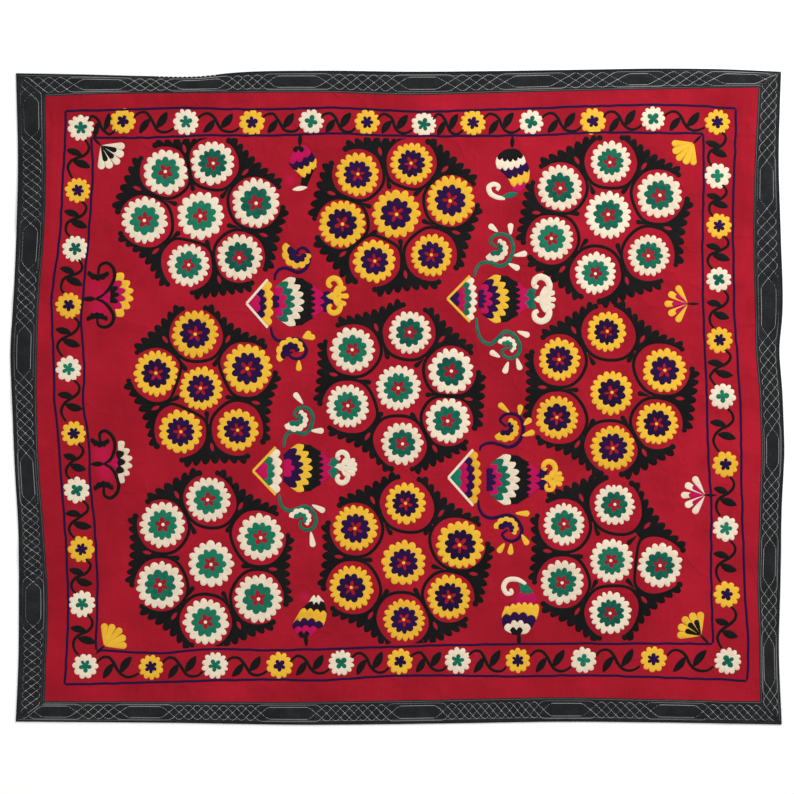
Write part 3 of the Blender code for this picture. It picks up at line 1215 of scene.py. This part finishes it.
# The border between the navy lines: white and yellow flowers by turns, joined by a black
# stem that winds from one to the next and bears two leaves on the way.
BORDER = {
    "top": (
        (-1012, 860, "white"), (-878, 881, "yellow"), (-676, 879, "white"),
        (-465, 877, "yellow"), (-276, 880, "white"), (-97, 878, "yellow"), (85, 871, "white"),
        (242, 876, "yellow"), (428, 878, "white"), (626, 881, "yellow"), (818, 889, "white"),
        (1024, 878, "yellow"),
    ),
    "right": (
        (1024, 878, None), (1024, 706, "white"), (1029, 546, "yellow"), (1028, 375, "white"),
        (1031, 181, "yellow"), (1040, 1, "white"), (1050, -217, "yellow"),
        (1051, -422, "white"), (1054, -633, "yellow"), (1057, -846, "white"),
    ),
    "left": (
        (-1012, 860, None), (-1022, 660, "yellow"), (-1030, 474, "white"),
        (-1050, 292, "yellow"), (-1052, 89, "white"), (-1035, -118, "yellow"),
        (-1026, -299, "white"), (-1010, -488, "yellow"), (-1009, -663, "white"),
        (-998, -862, "white"),
    ),
    "bottom": (
        (-998, -862, None), (-788, -865, "yellow"), (-583, -860, "white"),
        (-377, -860, "yellow"), (-180, -852, "white"), (9, -847, "yellow"), (193, -844, "white"),
        (386, -844, "yellow"), (596, -843, "white"), (820, -840, "yellow"), (1057, -846, None),
    ),
}
FLOWER_REACH = 42 * MM
FLOWER_VALLEY = 33 * MM
FLOWER_PETALS = (10, 13)
FLOWER_HOLE = 0.8
CORE_HOLE = 0.3 * MM
FLOWER_CORES = {
    "white": {"ring": "cream", "core": "green", "lobes": 4, "tip": 22 * MM, "notch": 9 * MM},
    "yellow": {"ring": "yellow", "core": "purple", "lobes": 5, "tip": 21 * MM, "notch": 11 * MM},
}
# The stem and its leaves in a stretch of 195 mm between two flowers, as distances along it
# and to its left.
VINE_STRETCH = 195 * MM
VINE_STEM = (
    (34, 12), (43, 22), (55, 29), (70, 27), (84, 14), (95, -8), (108, -26), (125, -33),
    (143, -29), (158, -18),
)
VINE_LEAVES = {
    "level": (
        {"tail": (84, 10), "tip": (52, -38), "width": 24 * MM},
        {"tail": (104, -21), "tip": (138, 32), "width": 27 * MM},
    ),
    "upright": (
        {"tail": (84, 8), "tip": (72, -42), "width": 24 * MM},
        {"tail": (106, -20), "tip": (124, 36), "width": 27 * MM},
    ),
}
STEM_WIDTH = {"ends": 8.16 * MM, "swell": 2.88 * MM}


def border_flower(work, middle, kind, dice):
    """A small flower: a ring of petals round a cross or star."""
    form = FLOWER_CORES[kind]
    reach = dice.uniform(0.95, 1.05)
    lobes = dice.integers(*FLOWER_PETALS)
    petals = Scallops(lobes, FLOWER_VALLEY * reach, FLOWER_REACH * reach, dice)
    core = Scallops(form["lobes"] + dice.integers(0, 2), form["notch"], form["tip"], dice)
    hole = form["notch"] * FLOWER_HOLE
    ring(work, middle, hole, petals, form["ring"], tone=dice.uniform(0.5, 0.8))
    ring(work, middle, CORE_HOLE, core, form["core"], points=8, section=DOMED, layer=1,
         tone=dice.uniform(0.2, 0.9))


def vine_stretch(work, first, last, dice):
    """The stem from one flower to the next, with its two leaves."""
    run = last - first
    length = np.linalg.norm(run)
    run /= length
    left = np.array([-run[1], run[0]])
    scale = np.array([length / VINE_STRETCH, dice.uniform(0.9, 1.08)]) * MM

    def place(along, aside):
        jitter = dice.uniform(-1.5, 1.5, 2) * MM
        return first + run * (along * scale[0]) + left * (aside * scale[1]) + jitter

    stem = smooth([place(*point) for point in VINE_STEM])
    share = np.linspace(0, 1, len(stem))
    width = STEM_WIDTH["ends"] + STEM_WIDTH["swell"] * np.sin(share * np.pi)
    stitch_line(work, stem, width, "black")
    for form in VINE_LEAVES["level" if abs(run[0]) > 0.7 else "upright"]:
        width = form["width"] * min(1.0, scale[0] / MM + 0.1)
        leaf(work, place(*form["tail"]), place(*form["tip"]), width, "black",
             bend=dice.uniform(-0.06, 0.06))


def border():
    """All the flowers of the border, and the vine from each to the next."""
    dice = np.random.default_rng(21)
    flowers = Needlework("border_flowers", ground_top)
    vine = Needlework("border_vine", ground_top)
    for rows in BORDER.values():
        places = [np.array(row[:2]) * MM for row in rows]
        for place, row in zip(places, rows):
            if row[2]:
                border_flower(flowers, place, row[2], dice)
        for first, last in zip(places, places[1:]):
            vine_stretch(vine, first, last, dice)
    flowers.sew()
    vine.sew()


border()

# Four pots with two sprays each stand between the medallions, all lying on their sides:
# a pointed lid, a round body and a curled foot, each built up of scalloped bands.
FAN_POINTS = 57
FAN_DEPTH = 16
FAN_ROUNDNESS = 0.95
POT_BANDS = (
    (-66, 45, -64, 1),
    (-63, 46, -24, 4),
    (-44, 63, 1, 6),
    (-22, 78, 30, 7),
    (24, 75, 44, 1),
    (44, 57, 66, 6),
    (72, 33, 94, 3),
)
SPOT_DEPTH = 12
POT_NECK = ((66, 24, 68, 1), (94, 32, 124, 3))
LID_EDGE = 8
LID_TIP = {"from": 4, "half": 3, "to": 5, "edges": -3}
LID_INSET = 4
LID_LOBE = {"least": 6, "more": 5}
LID_STEPS = {
    3: ((0.42, 0.67), (0.66, 0.97), (1.0, 1.32)),
    4: ((0.40, 0.53), (0.6, 0.82), (0.79, 1.09), (1.0, 1.36)),
}
POT_KINDS = {
    "yellow": {
        "edge": "cream", "light": "yellow", "dark": "purple",
        "lid": ("magenta", "purple", "yellow"),
        "body": ("magenta", "green", "cream", "black", "black", "magenta"),
    },
    "white": {
        "edge": "yellow", "light": "cream", "dark": "green",
        "lid": ("magenta", "green", "cream"),
        "body": ("magenta", "purple", "yellow", "black", "black", "magenta"),
    },
}
# Sizes are in mm from the body's middle, to the right and upwards. Of each foot, the table
# has its place, the size of its upper and lower curl, and how far its fingers reach. A spot
# of another colour sits at the body's left end.
POTS = {
    "upper_left": {
        "middle": (-327, 304), "kind": "yellow", "size": 1.0,
        "lid": {"apex": -152, "ends": -88, "half": 77, "up": -6, "first": ()},
        "spot": {"from": -72, "to": -46, "half": 20, "lobes": 2, "thread": "navy"},
        "foot": {"x": 129, "y": 18, "curls": (1.0, 0.95), "fingers": 3, "reach": 43},
    },
    "upper_right": {
        "middle": (330, 313), "kind": "white", "size": 0.98,
        "lid": {"apex": -170, "ends": -100, "half": 75, "up": 0, "first": ("navy",)},
        "spot": {"from": -72, "to": -44, "half": 29, "lobes": 4, "thread": "navy"},
        "foot": {"x": 139, "y": -2, "curls": (1.3, 1.25), "fingers": 5, "reach": 42},
    },
    "lower_left": {
        "middle": (-300, -228), "kind": "white", "size": 0.98,
        "lid": {"apex": -162, "ends": -91, "half": 78, "up": -10, "first": ()},
        "spot": {"from": -66, "to": -28, "half": 27, "lobes": 3, "thread": "magenta"},
        "foot": {"x": 130, "y": 3, "curls": (0.85, 0.9), "fingers": 4, "reach": 46},
    },
    "lower_right": {
        "middle": (362, -265), "kind": "yellow", "size": 1.03,
        "lid": {"apex": -190, "ends": -116, "half": 87, "up": 6, "first": ("green",)},
        "spot": {"from": -75, "to": -43, "half": 35, "lobes": 4, "thread": "navy"},
        "foot": {"x": 124, "y": 2, "curls": (0.94, 0.62), "fingers": 3, "reach": 42},
    },
}
# The sprays that rise from a lid's two ends. A spray's line is drawn from its start, 0, to
# its outermost bend across and to its crest upwards, 1. There it curls in, as far back as
# its curl, and ends in a hooked flower.
SPRAY_COLUMNS = ("pot", "up", "start_x", "start_y", "bend", "crest", "hump", "dip", "curl")
SPRAYS = (
    ("upper_left", 1, -66, 68, 46, 172, 0.38, 0.25, 0.64),
    ("upper_left", -1, -77, 80, 36, 183, 0.45, 0.38, 0.50),
    ("upper_right", 1, -82, 71, 40, 207, 0.34, 0.25, 0.40),
    ("upper_right", -1, -77, 61, 63, 190, 0.65, 0.34, 0.58),
    ("lower_left", 1, -63, 66, 30, 194, 0.40, 0.34, 0.36),
    ("lower_left", -1, -78, 84, 40, 199, 0.46, 0.34, 0.56),
    ("lower_right", 1, -99, 92, 39, 211, 0.21, 0.10, 0.48),
    ("lower_right", -1, -104, 63, 37, 197, 0.45, 0.38, 0.55),
)
SPRAY_CURL = ((1.0, 0.73), (0.86, 0.91), (0.5, 1.0), (0.15, 0.95), (0, 0.84))
SPRAY_WIDTH = 13
# Each spray's hooked flower: its middle, its size, the way it opens and how much is its heart.
HOOKS = (
    (15, 154, 47, 0, 0.5),
    (-6, 160, 45, 0, 0.55),
    (-13, 164, 38, 78, 0.36),
    (24, 154, 29, 60, 0.42),
    (-22, 160, 38, 68, 0.40),
    (-6, 166, 34, 50, 0.42),
    (-12, 168, 40, 74, 0.36),
    (-8, 160, 37, 42, 0.48),
)
HOOK_SPAN = np.radians(218)
HOOK_LOBES = {"heart": 5, "outside": 7, "depth": 0.13}
# The loose petals round each pot's upper sprays, 1, and lower ones, -1, from tail to tip.
PETAL_WIDTH = 19
PETALS = {
    "upper_left": {
        -1: (((24, 116), (50, 97)), ((24, 115), (64, 113)), ((12, 187), (12, 222))),
    },
    "upper_right": {
        1: (
            ((-9, 214), (-37, 237)), ((32, 205), (32, 242)), ((42, 138), (85, 146)),
            ((25, 113), (61, 95)),
        ),
        -1: (
            ((53, 104), (93, 118)), ((52, 190), (64, 228)), ((25, 201), (12, 239)),
            ((-1, 187), (-34, 168)),
        ),
    },
    "lower_left": {
        1: (((-2, 205), (-30, 240)), ((24, 119), (65, 119))),
        -1: (((27, 118), (68, 139)), ((23, 204), (31, 253))),
    },
    "lower_right": {
        1: (
            ((-4, 214), (-38, 243)), ((29, 206), (32, 240)), ((42, 174), (66, 195)),
            ((37, 140), (77, 153)),
        ),
        -1: (
            ((-19, 204), (-40, 234)), ((2, 205), (-1, 241)), ((35, 175), (56, 209)),
            ((16, 108), (61, 109)),
        ),
    },
}
DRAWN_STEP = 1.6
STROKE_ENDS = 0.55
CURL = ((0, -4), (10, 15), (16, 36), (8, 52), (-7, 57), (-21, 48), (-22, 35), (-12, 29))
CURL_WIDTH = 19
FINGER = {"splay": 38, "root": 22, "width": 17, "taper": 0.3}
FOOT_HEEL = {"ends": ((5, -34), (5, 34)), "width": 30}
FOOT_MIDDLE = {"ends": ((-32, 0), (18, 0)), "width": 25}


def framed(middle, turn=0.0, up=1, size=1.0):
    """Places a motif's own drawing, in mm, on the cloth: turned, mirrored and sized."""
    across = heading(np.array(turn)) * MM * size
    upwards = heading(np.array(turn + np.pi / 2)) * MM * size * up
    middle = np.array(middle) * MM

    def place(points):
        points = np.asarray(points, float)
        return middle + points[..., :1] * across + points[..., 1:] * upwards

    return place


def fan_edge(end, half, tip, lobes, lift=0.0, depth=FAN_DEPTH):
    """An arc from low to high that bulges to the right, with lobes on that side."""
    share = np.linspace(-1, 1, FAN_POINTS)
    deep = depth if lobes > 1 else 0
    line = np.stack([end + (tip - deep - end) * (1 - share ** 2), half * share + lift], axis=-1)
    return lobed(line, lobes, deep, roundness=FAN_ROUNDNESS) if lobes > 1 else line


def fan(work, place, edges, threads, dice, **facts):
    """Bands of stitching between arcs that lie one beyond the other."""
    for first, last, thread in zip(edges, edges[1:], threads):
        work.patch(place(first), place(last), thread, tone=dice.uniform(0.3, 0.8), **facts)


def stroke(work, place, points, width, thread, **facts):
    """A line of stitching drawn through given points, thinner towards its ends."""
    line = place(smooth(points, DRAWN_STEP))
    share = np.linspace(0, 1, len(line))
    profile = width * MM * (STROKE_ENDS + (1 - STROKE_ENDS) * np.sin(share * np.pi) ** 0.5)
    stitch_line(work, line, profile, thread, **facts)


def lid(work, place, form, kind, dice):
    """The pot's pointed lid: scalloped bands that shrink to its apex, with a light edge."""
    span, up = form["ends"] - form["apex"], form["up"]
    threads = form["first"] + kind["lid"]
    apex = form["apex"]
    edges = [fan_edge(apex + LID_TIP["from"], LID_TIP["half"], apex + LID_TIP["to"], 1, up)]
    for k, (end, tip) in enumerate(LID_STEPS[len(threads)]):
        lobes = len(edges) + (2 if k else 1)
        depth = LID_LOBE["least"] + LID_LOBE["more"] * end
        half = form["half"] * end - LID_INSET
        edges.append(fan_edge(apex + span * end, half, apex + span * tip, lobes, up, depth))
    fan(work, place, edges, threads, dice)
    for sign in (-1, 1):
        end = (form["ends"], form["half"] * sign + up)
        line = np.linspace(end, (apex + LID_TIP["edges"], up), 30)
        stitch_line(work, place(line), LID_EDGE * MM, kind["edge"], layer=1, tone=0.6)


def hook(work, place, spot, kind, dice):
    """The hooked flower at a spray's end: a dark heart in a light scalloped crescent."""
    x, y, size, turn, heart = spot
    share = np.linspace(1, 0, FAN_POINTS)
    angles = np.radians(turn) - share * HOOK_SPAN
    reaches = (0.14 + 0.2 * share ** 2, 0.32 + heart * share, 0.58 + 0.6 * share ** 0.7)
    lines = [np.array((x, y)) + heading(angles) * (size * reach)[:, None] for reach in reaches]
    for k, lobes in ((1, HOOK_LOBES["heart"]), (2, HOOK_LOBES["outside"])):
        lines[k] = lobed(lines[k], lobes, size * HOOK_LOBES["depth"])
    fan(work, place, lines, (kind["dark"], kind["light"]), dice, layer=1)


def spray(work, place, row, hooked, kind):
    """A stem that winds up from the lid and curls into its hooked flower."""
    form = dict(zip(SPRAY_COLUMNS, row))
    hump, dip = form["hump"], form["dip"]
    start = np.array((form["start_x"], form["start_y"]))
    size = np.array((form["bend"], form["crest"])) - start
    rise = (
        (0, 0), (0.03, 0.5 * hump), (0.14, 0.88 * hump), (0.31, hump), (0.5, (hump + dip) / 2),
        (0.67, dip), (0.83, dip + 0.06), (0.95, dip + 0.22),
    )
    curl = np.array(SPRAY_CURL)
    curl[1:, 0] = form["curl"] + (1 - form["curl"]) * curl[1:, 0]
    line = np.vstack([start + np.vstack([rise, curl]) * size, hooked])
    stroke(work, place, line, SPRAY_WIDTH, kind["dark"], tone=0.5)


def foot(work, place, form, kind):
    """The pot's foot: two curls and fingers that spread from a leaf-shaped middle."""
    middle = np.array((form["x"], form["y"]))
    for up, size in zip((1, -1), form["curls"]):
        points = middle + np.array(CURL) * size * (1, up)
        stroke(work, place, points, CURL_WIDTH * size ** 0.5, kind["light"], tone=0.6)
    spread = sum(form["curls"]) / 2
    for k in range(form["fingers"]):
        share = 1 - 2 * k / (form["fingers"] - 1)
        turn = np.radians(FINGER["splay"] * share) * spread
        root = middle + (2, FINGER["root"] * spread * np.sin(turn))
        ends = place(np.array([root, middle + form["reach"] * heading(turn) * (1, 1.1 * spread)]))
        teardrop(work, *ends, FINGER["width"] * MM, kind["light"], taper=FINGER["taper"],
                 layer=k % 2, tone=0.6)
    ends = place(middle + np.array(FOOT_HEEL["ends"]) * spread)
    leaf(work, *ends, FOOT_HEEL["width"] * MM * spread, kind["light"], section=WIDE, layer=1,
         tone=0.6)
    ends = place(middle + np.array(FOOT_MIDDLE["ends"]))
    leaf(work, *ends, FOOT_MIDDLE["width"] * MM, kind["light"], tone=0.6)


def pot(name, form):
    """One pot with its neck, body, lid, foot and sprays."""
    work = Needlework(f"pot_{name}", ground_top)
    dice = np.random.default_rng(form["lid"]["half"])
    kind = POT_KINDS[form["kind"]]
    place = framed(form["middle"], size=form["size"])
    fan(work, place, [fan_edge(*row) for row in POT_NECK], (kind["dark"],), dice)
    spot, body = form["spot"], kind["body"]
    if spot["thread"] == body[0]:
        body = (body[1], *body[1:])
    fan(work, place, [fan_edge(*row) for row in POT_BANDS], body, dice, layer=1)
    edges = [
        fan_edge(spot["from"], spot["half"] - 2, spot["from"] + 1, 1),
        fan_edge(spot["from"] + 5, spot["half"], spot["to"], spot["lobes"], depth=SPOT_DEPTH),
    ]
    fan(work, place, edges, (spot["thread"],), dice, layer=2)
    lid(work, place, form["lid"], kind, dice)
    foot(work, place, form["foot"], kind)
    for row, hooked in zip(SPRAYS, HOOKS):
        if row[0] == name:
            side = framed(form["middle"], up=row[1])
            spray(work, side, row, hooked[:2], kind)
            hook(work, side, hooked, kind, dice)
    for up, petals in PETALS[name].items():
        for ends in petals:
            ends = framed(form["middle"], up=up)(ends)
            teardrop(work, *ends, PETAL_WIDTH * MM, kind["light"], taper=0.5, layer=1, tone=0.6)
    work.sew()


for name, form in POTS.items():
    pot(name, form)

# Four hanging fruits, two from the inner line at the top and two standing on it below, each
# banded across, with a dark cap at its stem and a curl beyond its end.
FRUIT_STEM = {"length": 36, "width": 15}
FRUIT_LOBE = 10
FRUIT_CROWN = 0.55
FRUIT_CURL = 17
# The edges of a fruit's bands, in mm from its stem: how far across and along an edge's middle
# lies, half its length, how far its right end lies beyond the middle, its bulge and its lobes.
EDGE_COLUMNS = ("across", "along", "half", "rise", "bulge", "lobes")
NEAR_PART = ((0, 0, 0.0), (0, 1, 0.8), (1, 0, 1.0))
FLAT_PART = ((0, 0, 1.0), (1, 0, 1.0))
FAR_PART = ((0, 0, 1.0), (1, -1, 0.8), (1, 0, 0.0))
BAND_PARTS = (0, 0.2, 0.5, 0.8, 1)
FRUITS = {
    "top_left": {
        "stem": (-312, 806), "up": -1, "threads": ("magenta", "purple", "yellow", "black"),
        "edges": (
            (3, 3, 9, -3, 0, 1),
            (0, 36, 35, -16, 19, 3),
            (13, 57, 36, -18, 18, 4),
            (28, 82, 24, -19, 12, 3),
            (12, 132, 10, 4, 2, 1),
        ),
        "cap": ((-4, 6, 12, 0, -2, 1), (-4, 15, 19, 0, 8, 2)),
        "leaf": ("cream", (24, 136), (-24, 144), 15),
    },
    "top_right": {
        "stem": (367, 799), "up": -1,
        "threads": ("black", "cream", "purple", "yellow", "magenta"),
        "edges": (
            (-1, 5, 10, 0, 0, 1),
            (-6, 27, 41, -2, 21, 5),
            (-3, 53, 47, -9, 21, 5),
            (19, 81, 36, -15, 14, 4),
            (25, 112, 29, -8, 11, 3),
            (15, 140, 15, 2, 2, 1),
        ),
        "curl": ("cream", (
            (-22, 165), (-48, 161), (-70, 147), (-74, 128), (-58, 119), (-43, 127), (-49, 140),
        )),
        "leaf": ("green", (18, 148), (-31, 160), 18),
    },
    "bottom_left": {
        "stem": (-293, -764), "up": 1,
        "threads": ("magenta", "purple", "yellow", "black", "cream"),
        "edges": (
            (-4, -4, 10, 0, 0, 1),
            (0, 18, 37, 1, 15, 3),
            (7, 32, 49, -2, 25, 4),
            (25, 74, 42, -6, 12, 4),
            (34, 105, 26, 0, 2, 3),
            (33, 121, 15, 0, 8, 2),
        ),
        "cap": ((-6, -6, 11, 0, -2, 1), (-6, 5, 19, 0, 9, 2)),
    },
    "bottom_right": {
        "stem": (388, -760), "up": 1,
        "threads": ("cream", "purple", "yellow", "magenta", "green"),
        "edges": (
            (3, 0, 14, 0, 0, 1),
            (-4, 16, 42, 0, 31, 4),
            (1, 46, 55, -2, 26, 4),
            (10, 83, 56, 3, 20, 6),
            (26, 130, 24, 0, 2, 3),
            (13, 164, 11, -1, 1, 1),
        ),
        "cap": ((-7, 0, 14, 0, -2, 1), (-7, 13, 21, 0, 10, 2)),
        "curl": ("cream", (
            (24, 160), (-8, 176), (-38, 171), (-48, 150), (-36, 130), (-22, 133), (-26, 146),
        )),
    },
}


def fruit_edge(facts, lobes=1, bulge=0.0):
    """An edge across a fruit, from right to left, that bulges away from the stem."""
    share = np.linspace(1, -1, FAN_POINTS)
    line = np.stack([
        facts["across"] + facts["half"] * share,
        facts["along"] + facts["rise"] * share + bulge * (1 - share ** 2),
    ], axis=-1)
    return lobed(line, lobes, FRUIT_LOBE, roundness=FAN_ROUNDNESS) if lobes > 1 else line


def fruit_band(work, place, table, first, thread, **facts):
    """One band, in four strips that follow the fruit's round outline from edge to edge."""
    near, far = (dict(zip(EDGE_COLUMNS, row)) for row in table[first:first + 2])
    deep = FRUIT_LOBE if far["lobes"] > 1 else 0
    lines = []
    for part in BAND_PARTS:
        spot = {
            name: through(range(len(table)), values, [first + part])[0]
            for name, values in zip(EDGE_COLUMNS[:4], zip(*table))
        }
        if first == 0:
            spot["half"] = near["half"] + (far["half"] - near["half"]) * part ** FRUIT_CROWN
        bulge = near["bulge"] + (far["bulge"] - deep - near["bulge"]) * part
        lines.append(fruit_edge(spot, far["lobes"] if part == 1 else 1, bulge))
    if near["lobes"] > 1:
        lines[0] = fruit_edge(near, near["lobes"], near["bulge"] - FRUIT_LOBE)
    for k, section in enumerate((NEAR_PART, FLAT_PART, FLAT_PART, FAR_PART)):
        work.patch(place(lines[k]), place(lines[k + 1]), thread, section, **facts)


def fruit(name, form):
    """One fruit with its bands, stem, cap, and curl or leaf."""
    work = Needlework(f"fruit_{name}", ground_top)
    dice = np.random.default_rng(abs(form["stem"][0]))
    place = framed(form["stem"], up=form["up"])
    for first, thread in enumerate(form["threads"]):
        fruit_band(work, place, form["edges"], first, thread, tone=dice.uniform(0.3, 0.8))
    stem = place(np.array([(2, -FRUIT_STEM["length"]), (0, 5)]))
    leaf(work, *stem, FRUIT_STEM["width"] * MM, "black", section=LINE, tone=0.5)
    if "curl" in form:
        thread, points = form["curl"]
        stroke(work, place, points, FRUIT_CURL, thread, tone=0.7)
    if "leaf" in form:
        thread, tail, tip, width = form["leaf"]
        leaf(work, *place(np.array([tail, tip])), width * MM, thread, layer=1)
    if "cap" in form:
        near, far = (dict(zip(EDGE_COLUMNS, row)) for row in form["cap"])
        lines = (fruit_edge(near, 1, near["bulge"]), fruit_edge(far, far["lobes"], 0.0))
        work.patch(place(lines[0]), place(lines[1]), "black", layer=2, tone=0.5)
    work.sew()


for name, form in FRUITS.items():
    fruit(name, form)

# Small flowers stand in from the inner line at the sides and corners: fans of petals round
# a dark heart. The two on the left grow from a pair of curled horns.
TULIP_COLUMNS = ("x", "y", "turn", "spread", "length", "petals", "heart")
TULIPS = {
    "top_left": (-949, 804, -45, 43, 84, "cream", "black"),
    "top_right": (949, 812, 225, 43, 78, "yellow", None),
    "bottom_left": (-939, -798, 45, 43, 80, "yellow", None),
    "bottom_right": (972, -765, 135, 43, 84, "yellow", "black"),
    "right_upper": (930, 297, 180, 58, 76, "yellow", "magenta"),
    "right_lower": (985, -315, 180, 58, 78, "cream", "magenta"),
}
TULIP_PETALS = 5
PETAL_SHARE = 0.29
HEART_PETALS = 3
HEART_SHARE = 0.68
HEART_WIDTH = 0.31
HEART_CLOSED = 0.2
SIDE_SHORTER = 0.12
TULIP_STEM = {"length": 38, "width": 10}
HORN = ((0, 0), (25, 13), (47, 40), (60, 75), (53, 102), (33, 115), (14, 107), (8, 90), (9, 72))
HORN_WIDTH = 12.5
CRESCENT_ENDS = 0.35
CRESCENT_VALLEY = 0.65
CRESCENT_INWARDS = 0.4
CRESCENT_ROUNDNESS = 0.8
HORN_HEAD = {
    "points": ((-25, 88), (-14, 76), (6, 70), (28, 76), (40, 86)), "width": 21, "lobes": 5,
}
HORNS_COLUMNS = ("flower", "up", "wide", "tall", "lean")
HORNS = (
    ("left_upper", 1, 1.0, 1.0, 0.0),
    ("left_upper", -1, 1.0, 0.79, 0.05),
    ("left_lower", 1, 0.85, 0.92, 0.25),
    ("left_lower", -1, 0.9, 0.95, 0.1),
)
HORNED = {
    "left_upper": {
        "middle": (-964, 313), "lift": 13, "threads": ("black", "magenta", "yellow"),
        "bands": ((42, 23, 46, 1), (52, 27, 76, 3), (60, 44, 96, 4), (64, 69, 122, 6)),
    },
    "left_lower": {
        "middle": (-938, -215), "lift": 6, "threads": ("black", "cream"),
        "bands": ((36, 30, 42, 1), (44, 37, 68, 3), (42, 66, 92, 6)),
    },
}
HORNED_BUD = {"length": 44, "width": 18}
HORNED_DROPS = {"tail": (17, 2), "tips": ((44, 16), (45, -9)), "width": 16}


def tulip(name, row):
    """One fan of petals, with its heart and its stem."""
    form = dict(zip(TULIP_COLUMNS, row))
    work = Needlework(f"tulip_{name}", ground_top)
    place = framed((form["x"], form["y"]), np.radians(form["turn"]))
    for count, length, width, thread, layer in (
        (TULIP_PETALS, form["length"], PETAL_SHARE, form["petals"], 0),
        (HEART_PETALS, form["length"] * HEART_SHARE, HEART_WIDTH, form["heart"], 2),
    ):
        if thread:
            spread = form["spread"] * (1 - layer * HEART_CLOSED)
            turns = np.radians(np.linspace(-1, 1, count) * spread)
            for k, turn in enumerate(turns):
                reach = length * (1 - SIDE_SHORTER * abs(np.sin(turn)))
                ends = place(np.array([heading(turn) * 3, heading(turn) * reach]))
                teardrop(work, *ends, length * width * MM, thread, taper=0.75,
                         layer=layer or k % 2, tone=0.5 + 0.2 * (k % 2))
    stem = place(np.array([(-TULIP_STEM["length"], 0), (5, 0)]))
    leaf(work, *stem, TULIP_STEM["width"] * MM, "black", tone=0.5)
    work.sew()


def crescent(work, place, points, width, lobes, thread):
    """A crescent drawn through given points, scalloped along its right side."""
    line = smooth(points, DRAWN_STEP)
    share = np.linspace(0, 1, len(line))
    profile = width * (CRESCENT_ENDS + (1 - CRESCENT_ENDS) * np.sin(share * np.pi) ** 0.6)
    waves = abs(np.sin(share * lobes * np.pi)) ** CRESCENT_ROUNDNESS
    scallops = CRESCENT_VALLEY + (1 - CRESCENT_VALLEY) * waves
    first = beside(line, profile * CRESCENT_INWARDS)
    last = beside(line, -profile * (1 - CRESCENT_INWARDS) * scallops)
    work.patch(place(first), place(last), thread, layer=1, tone=0.5)


def horned(name, form):
    """One flower on its two horns."""
    work = Needlework(f"horned_{name}", ground_top)
    dice = np.random.default_rng(abs(form["middle"][1]))
    for row in HORNS:
        horn = dict(zip(HORNS_COLUMNS, row))
        if horn["flower"] == name:
            place = framed(form["middle"], up=horn["up"])
            for drawn in (HORN, HORN_HEAD["points"]):
                points = np.array(drawn) * (horn["wide"], horn["tall"])
                points[:, 0] -= horn["lean"] * points[:, 1]
                if drawn is HORN:
                    stroke(work, place, points, HORN_WIDTH, "black", tone=0.5)
                else:
                    crescent(work, place, points, HORN_HEAD["width"], HORN_HEAD["lobes"], "black")
    place = framed(form["middle"])
    edges = [fan_edge(*row, lift=form["lift"]) for row in form["bands"]]
    fan(work, place, edges, form["threads"], dice)
    for tip in HORNED_DROPS["tips"]:
        ends = place((HORNED_DROPS["tail"], tip))
        teardrop(work, *ends, HORNED_DROPS["width"] * MM, "magenta", section=LINE)
    leaf(work, *place(np.array([(-HORNED_BUD["length"], -1), (2, 0)])), HORNED_BUD["width"] * MM,
         "black", tone=0.5)
    work.sew()


for name, row in TULIPS.items():
    tulip(name, row)
for name, form in HORNED.items():
    horned(name, form)

# The panel lies on a pale floor under soft light, brighter from its top right corner, and
# the camera looks straight down on it.
CAMERA_PLACE = (-0.001, -0.001, 6.0)
CAMERA_LENS = 85.0
LIGHTS = {
    "key_light": {"place": (3.2, 3.6, 3.2), "size": 2.2, "power": 300.0},
    "fill_light": {"place": (-3.0, -2.0, 4.5), "size": 3.5, "power": 90.0},
}
SKY_STRENGTH = 0.55
FLOOR_HALF_WIDTH = 6.0
FLOOR_COLOR = (0.93, 0.93, 0.93, 1.0)
FLOOR_GAP = 0.3 * MM


def soft_light(name, place, size, power):
    """A square soft box that points at the panel's middle."""
    lamp = bpy.data.lights.new(name, "AREA")
    lamp.size = size
    lamp.energy = power
    light = linked(name, lamp)
    light.location = place
    light.rotation_euler = (-light.location).to_track_quat("-Z", "Y").to_euler()


def studio():
    """The floor, the lights, the sky and the camera."""
    bm = bmesh.new()
    bmesh.ops.create_grid(bm, x_segments=1, y_segments=1, size=FLOOR_HALF_WIDTH)
    bmesh.ops.translate(bm, verts=bm.verts, vec=(0.0, 0.0, -FLOOR_GAP))
    mesh = bpy.data.meshes.new("floor")
    bm.to_mesh(mesh)
    bm.free()
    finish = Finish("pale_floor", 0.9)
    finish.shader.inputs["Base Color"].default_value = FLOOR_COLOR
    mesh.materials.append(finish.material)
    floor = linked("floor", mesh)

    for name, form in LIGHTS.items():
        soft_light(name, **form)

    world = bpy.data.worlds.new("studio")
    world.use_nodes = True
    sky = world.node_tree.nodes["Background"].inputs
    sky["Strength"].default_value = SKY_STRENGTH
    sky["Color"].default_value = (1.0, 1.0, 1.0, 1.0)
    bpy.context.scene.world = world
    bpy.context.scene.view_settings.view_transform = "Standard"

    lens = bpy.data.cameras.new("camera")
    lens.lens = CAMERA_LENS
    camera = linked("camera", lens)
    camera.location = CAMERA_PLACE
    bpy.context.scene.camera = camera


studio()
